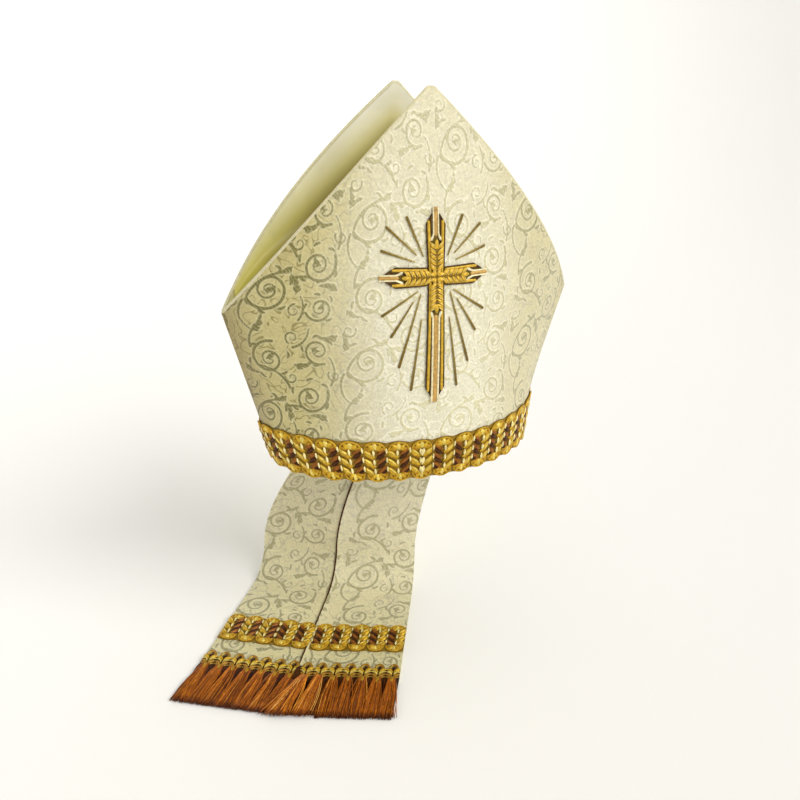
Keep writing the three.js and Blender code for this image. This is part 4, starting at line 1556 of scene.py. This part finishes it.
# %% The looped heading
def heading_shapes(lappet, place):
    """The looped heading: a dark bed that is painted shade under the loops, and for each bunch a loop
    above, with painted shade inside it and a painted highlight on its shoulder, and a knot that narrows
    below.
    """
    shapes = []
    width = 2 * lappet_half_width(lappet_length)
    pitch = width / fringe_bunches

    def lay(start, end, petal_width, height, lift, tone, bow=0.0):
        shape = petal(start, end, petal_width * MM, height * MM, lift * MM, bow=bow)
        shapes.append(laid(shape, place, tone))

    over = lappet["side"] == "right"
    spots = np.linspace(-0.535 if over else -0.495, 0.495, bed_points)
    raised = bed_rise * np.clip(-2 * spots, 0, 1) ** 8 if over else 0 * spots
    # The dark bed is painted shade.
    bed = np.column_stack([spots * width, np.full(bed_points, 13 * MM), 0.6 * MM + raised])
    shapes.append(laid(strand(bed, 7.5 * MM, 0.5 * MM, 8), place, dark_tone))
    for bunch in range(fringe_bunches):
        middle = (bunch + 0.5 - fringe_bunches / 2) * pitch
        loop = arch((middle, 6.0 * MM), 3.4 * MM, -4.6 * MM, -20, 200, 2.5 * MM, 2.4 * MM, 1.5 * MM)
        shapes.append(laid(loop, place, loop_tone))
        # Painted shade inside the loop.
        lay((middle, 3.2 * MM), (middle, 7.6 * MM), 3.4, 1.2, 0.8, dark_tone)
        # A straw painted highlight on the loop's shoulder.
        lay((middle - 3.0 * MM, 6.4 * MM), (middle - 1.2 * MM, 2.4 * MM), 1.1, 1.4, 2.3, straw_tone)
        for side in (-1, 1):
            edge, inner = middle + side * pitch * 0.5, middle + side * 0.7 * MM
            lay((edge, 7.0 * MM), (inner, 11.2 * MM), 2.8, 2.6, 1.7, gold_tone, side * 0.2)
            lay((edge, 9.8 * MM), (inner, 13.6 * MM), 1.9, 2.4, 1.9, straw_tone, side * 0.2)
            lay((edge, 12.6 * MM), (inner, 17.4 * MM), 2.8, 2.4, 1.6, loop_tone, side * 0.2)
            lay((edge, 15.0 * MM), (inner, 19.6 * MM), 2.2, 2.0, 1.2, ribbon_tone, side * 0.2)
        lay((middle, 15.5 * MM), (middle, 22 * MM), 4.2, 3.0, 1.6, amber_tone)
    return shapes


# %% Make both fringes
for lappet in lappets:
    side = lappet["side"]
    place = on_lappet(lappet, heading_start)
    threads = joined(f"lappet_{side}_fringe", fringe_threads(lappet, place))
    heading = joined(f"lappet_{side}_heading", heading_shapes(lappet, place))
    for piece, finish in ((threads, rayon_thread), (heading, gold_braid)):
        dress(piece, "fringe_rayon", f"lappet_fringe_{side}", finish)
    lappet["pieces"] = [lappet["galloon"], heading, threads]
right_lappet["pieces"].append(gap_shadow_cord)

# %% [markdown]
# ## The lappets' cloth
# The lappets are cut a little wider at the end than at the top. Galloon, heading, fringe and the dark
# cord painted as the shadow between the lappets go with their lappet.

# %% [markdown]
# ## Floor and light
# The floor is a plain pale disc that curves up all round into a wall, as a studio's paper does, so no
# edge shows behind the mitre. The disc is extruded upwards in steps, each a little wider, and a last
# step makes the curve end upright. The disc itself stays below, and the copy that rose with its rim is
# deleted. A broad sun, high on the right and before the mitre, stands for a soft lamp. It comes in over
# the wall, so the wall has to stay low. The pale world fills the shadows.

# %% Floor
floor_height = -175.6 * MM
floor_radius = 1.7
sweep_radius = 1.5
sweep_steps = 16
rim_rise = 0.15

unselect_all()
bpy.ops.mesh.primitive_circle_add(
    vertices=128, radius=floor_radius, fill_type="NGON", location=(0, 0, floor_height)
)
floor = bpy.context.active_object
floor.name = "floor"
bpy.ops.object.mode_set(mode="EDIT")
bpy.ops.mesh.select_mode(type="EDGE")
bpy.ops.mesh.select_all(action="DESELECT")
bpy.ops.mesh.select_non_manifold()
for step in range(sweep_steps):
    before, after = (math.pi / 2 * turn / sweep_steps for turn in (step, step + 1))
    rise = sweep_radius * (math.cos(before) - math.cos(after))
    inner, outer = (floor_radius + sweep_radius * math.sin(turn) for turn in (before, after))
    wider = outer / inner
    bpy.ops.mesh.extrude_region_move(TRANSFORM_OT_translate={"value": (0, 0, rise)})
    bpy.ops.transform.resize(value=(wider, wider, 1), center_override=(0, 0, floor_height))
bpy.ops.mesh.extrude_region_move(TRANSFORM_OT_translate={"value": (0, 0, rim_rise)})
bpy.ops.mesh.delete(type="ONLY_FACE")
bpy.ops.object.mode_set(mode="OBJECT")
bpy.ops.object.shade_smooth()
pale, _, pale_shader = new_material("pale_studio_paper", roughness=0.8)
pale_shader.inputs["Base Color"].default_value = linear("FBFAF8")
floor.data.materials.append(pale)
print("Floor at", floor_height)

# %% Light
sun_towards = Vector((0.68, -0.9, 0.8))
sun_energy = 2.6
sun_spread = math.radians(45)
world_strength = 0.6

bpy.ops.object.light_add(type="SUN", rotation=sun_towards.to_track_quat("Z", "Y").to_euler())
sun = bpy.context.active_object
sun.name = "broad_sun"
sun.data.energy = sun_energy
sun.data.angle = sun_spread
sun.data.color = linear("FFFDF8")[:3]

world = bpy.data.worlds.new("pale_studio")
world.use_nodes = True
world.node_tree.nodes["Background"].inputs["Color"].default_value = linear("FAF9F5")
world.node_tree.nodes["Background"].inputs["Strength"].default_value = world_strength
bpy.context.scene.world = world
bpy.context.scene.view_settings.view_transform = "Standard"
print("Light from", sun.name, "and", world.name)
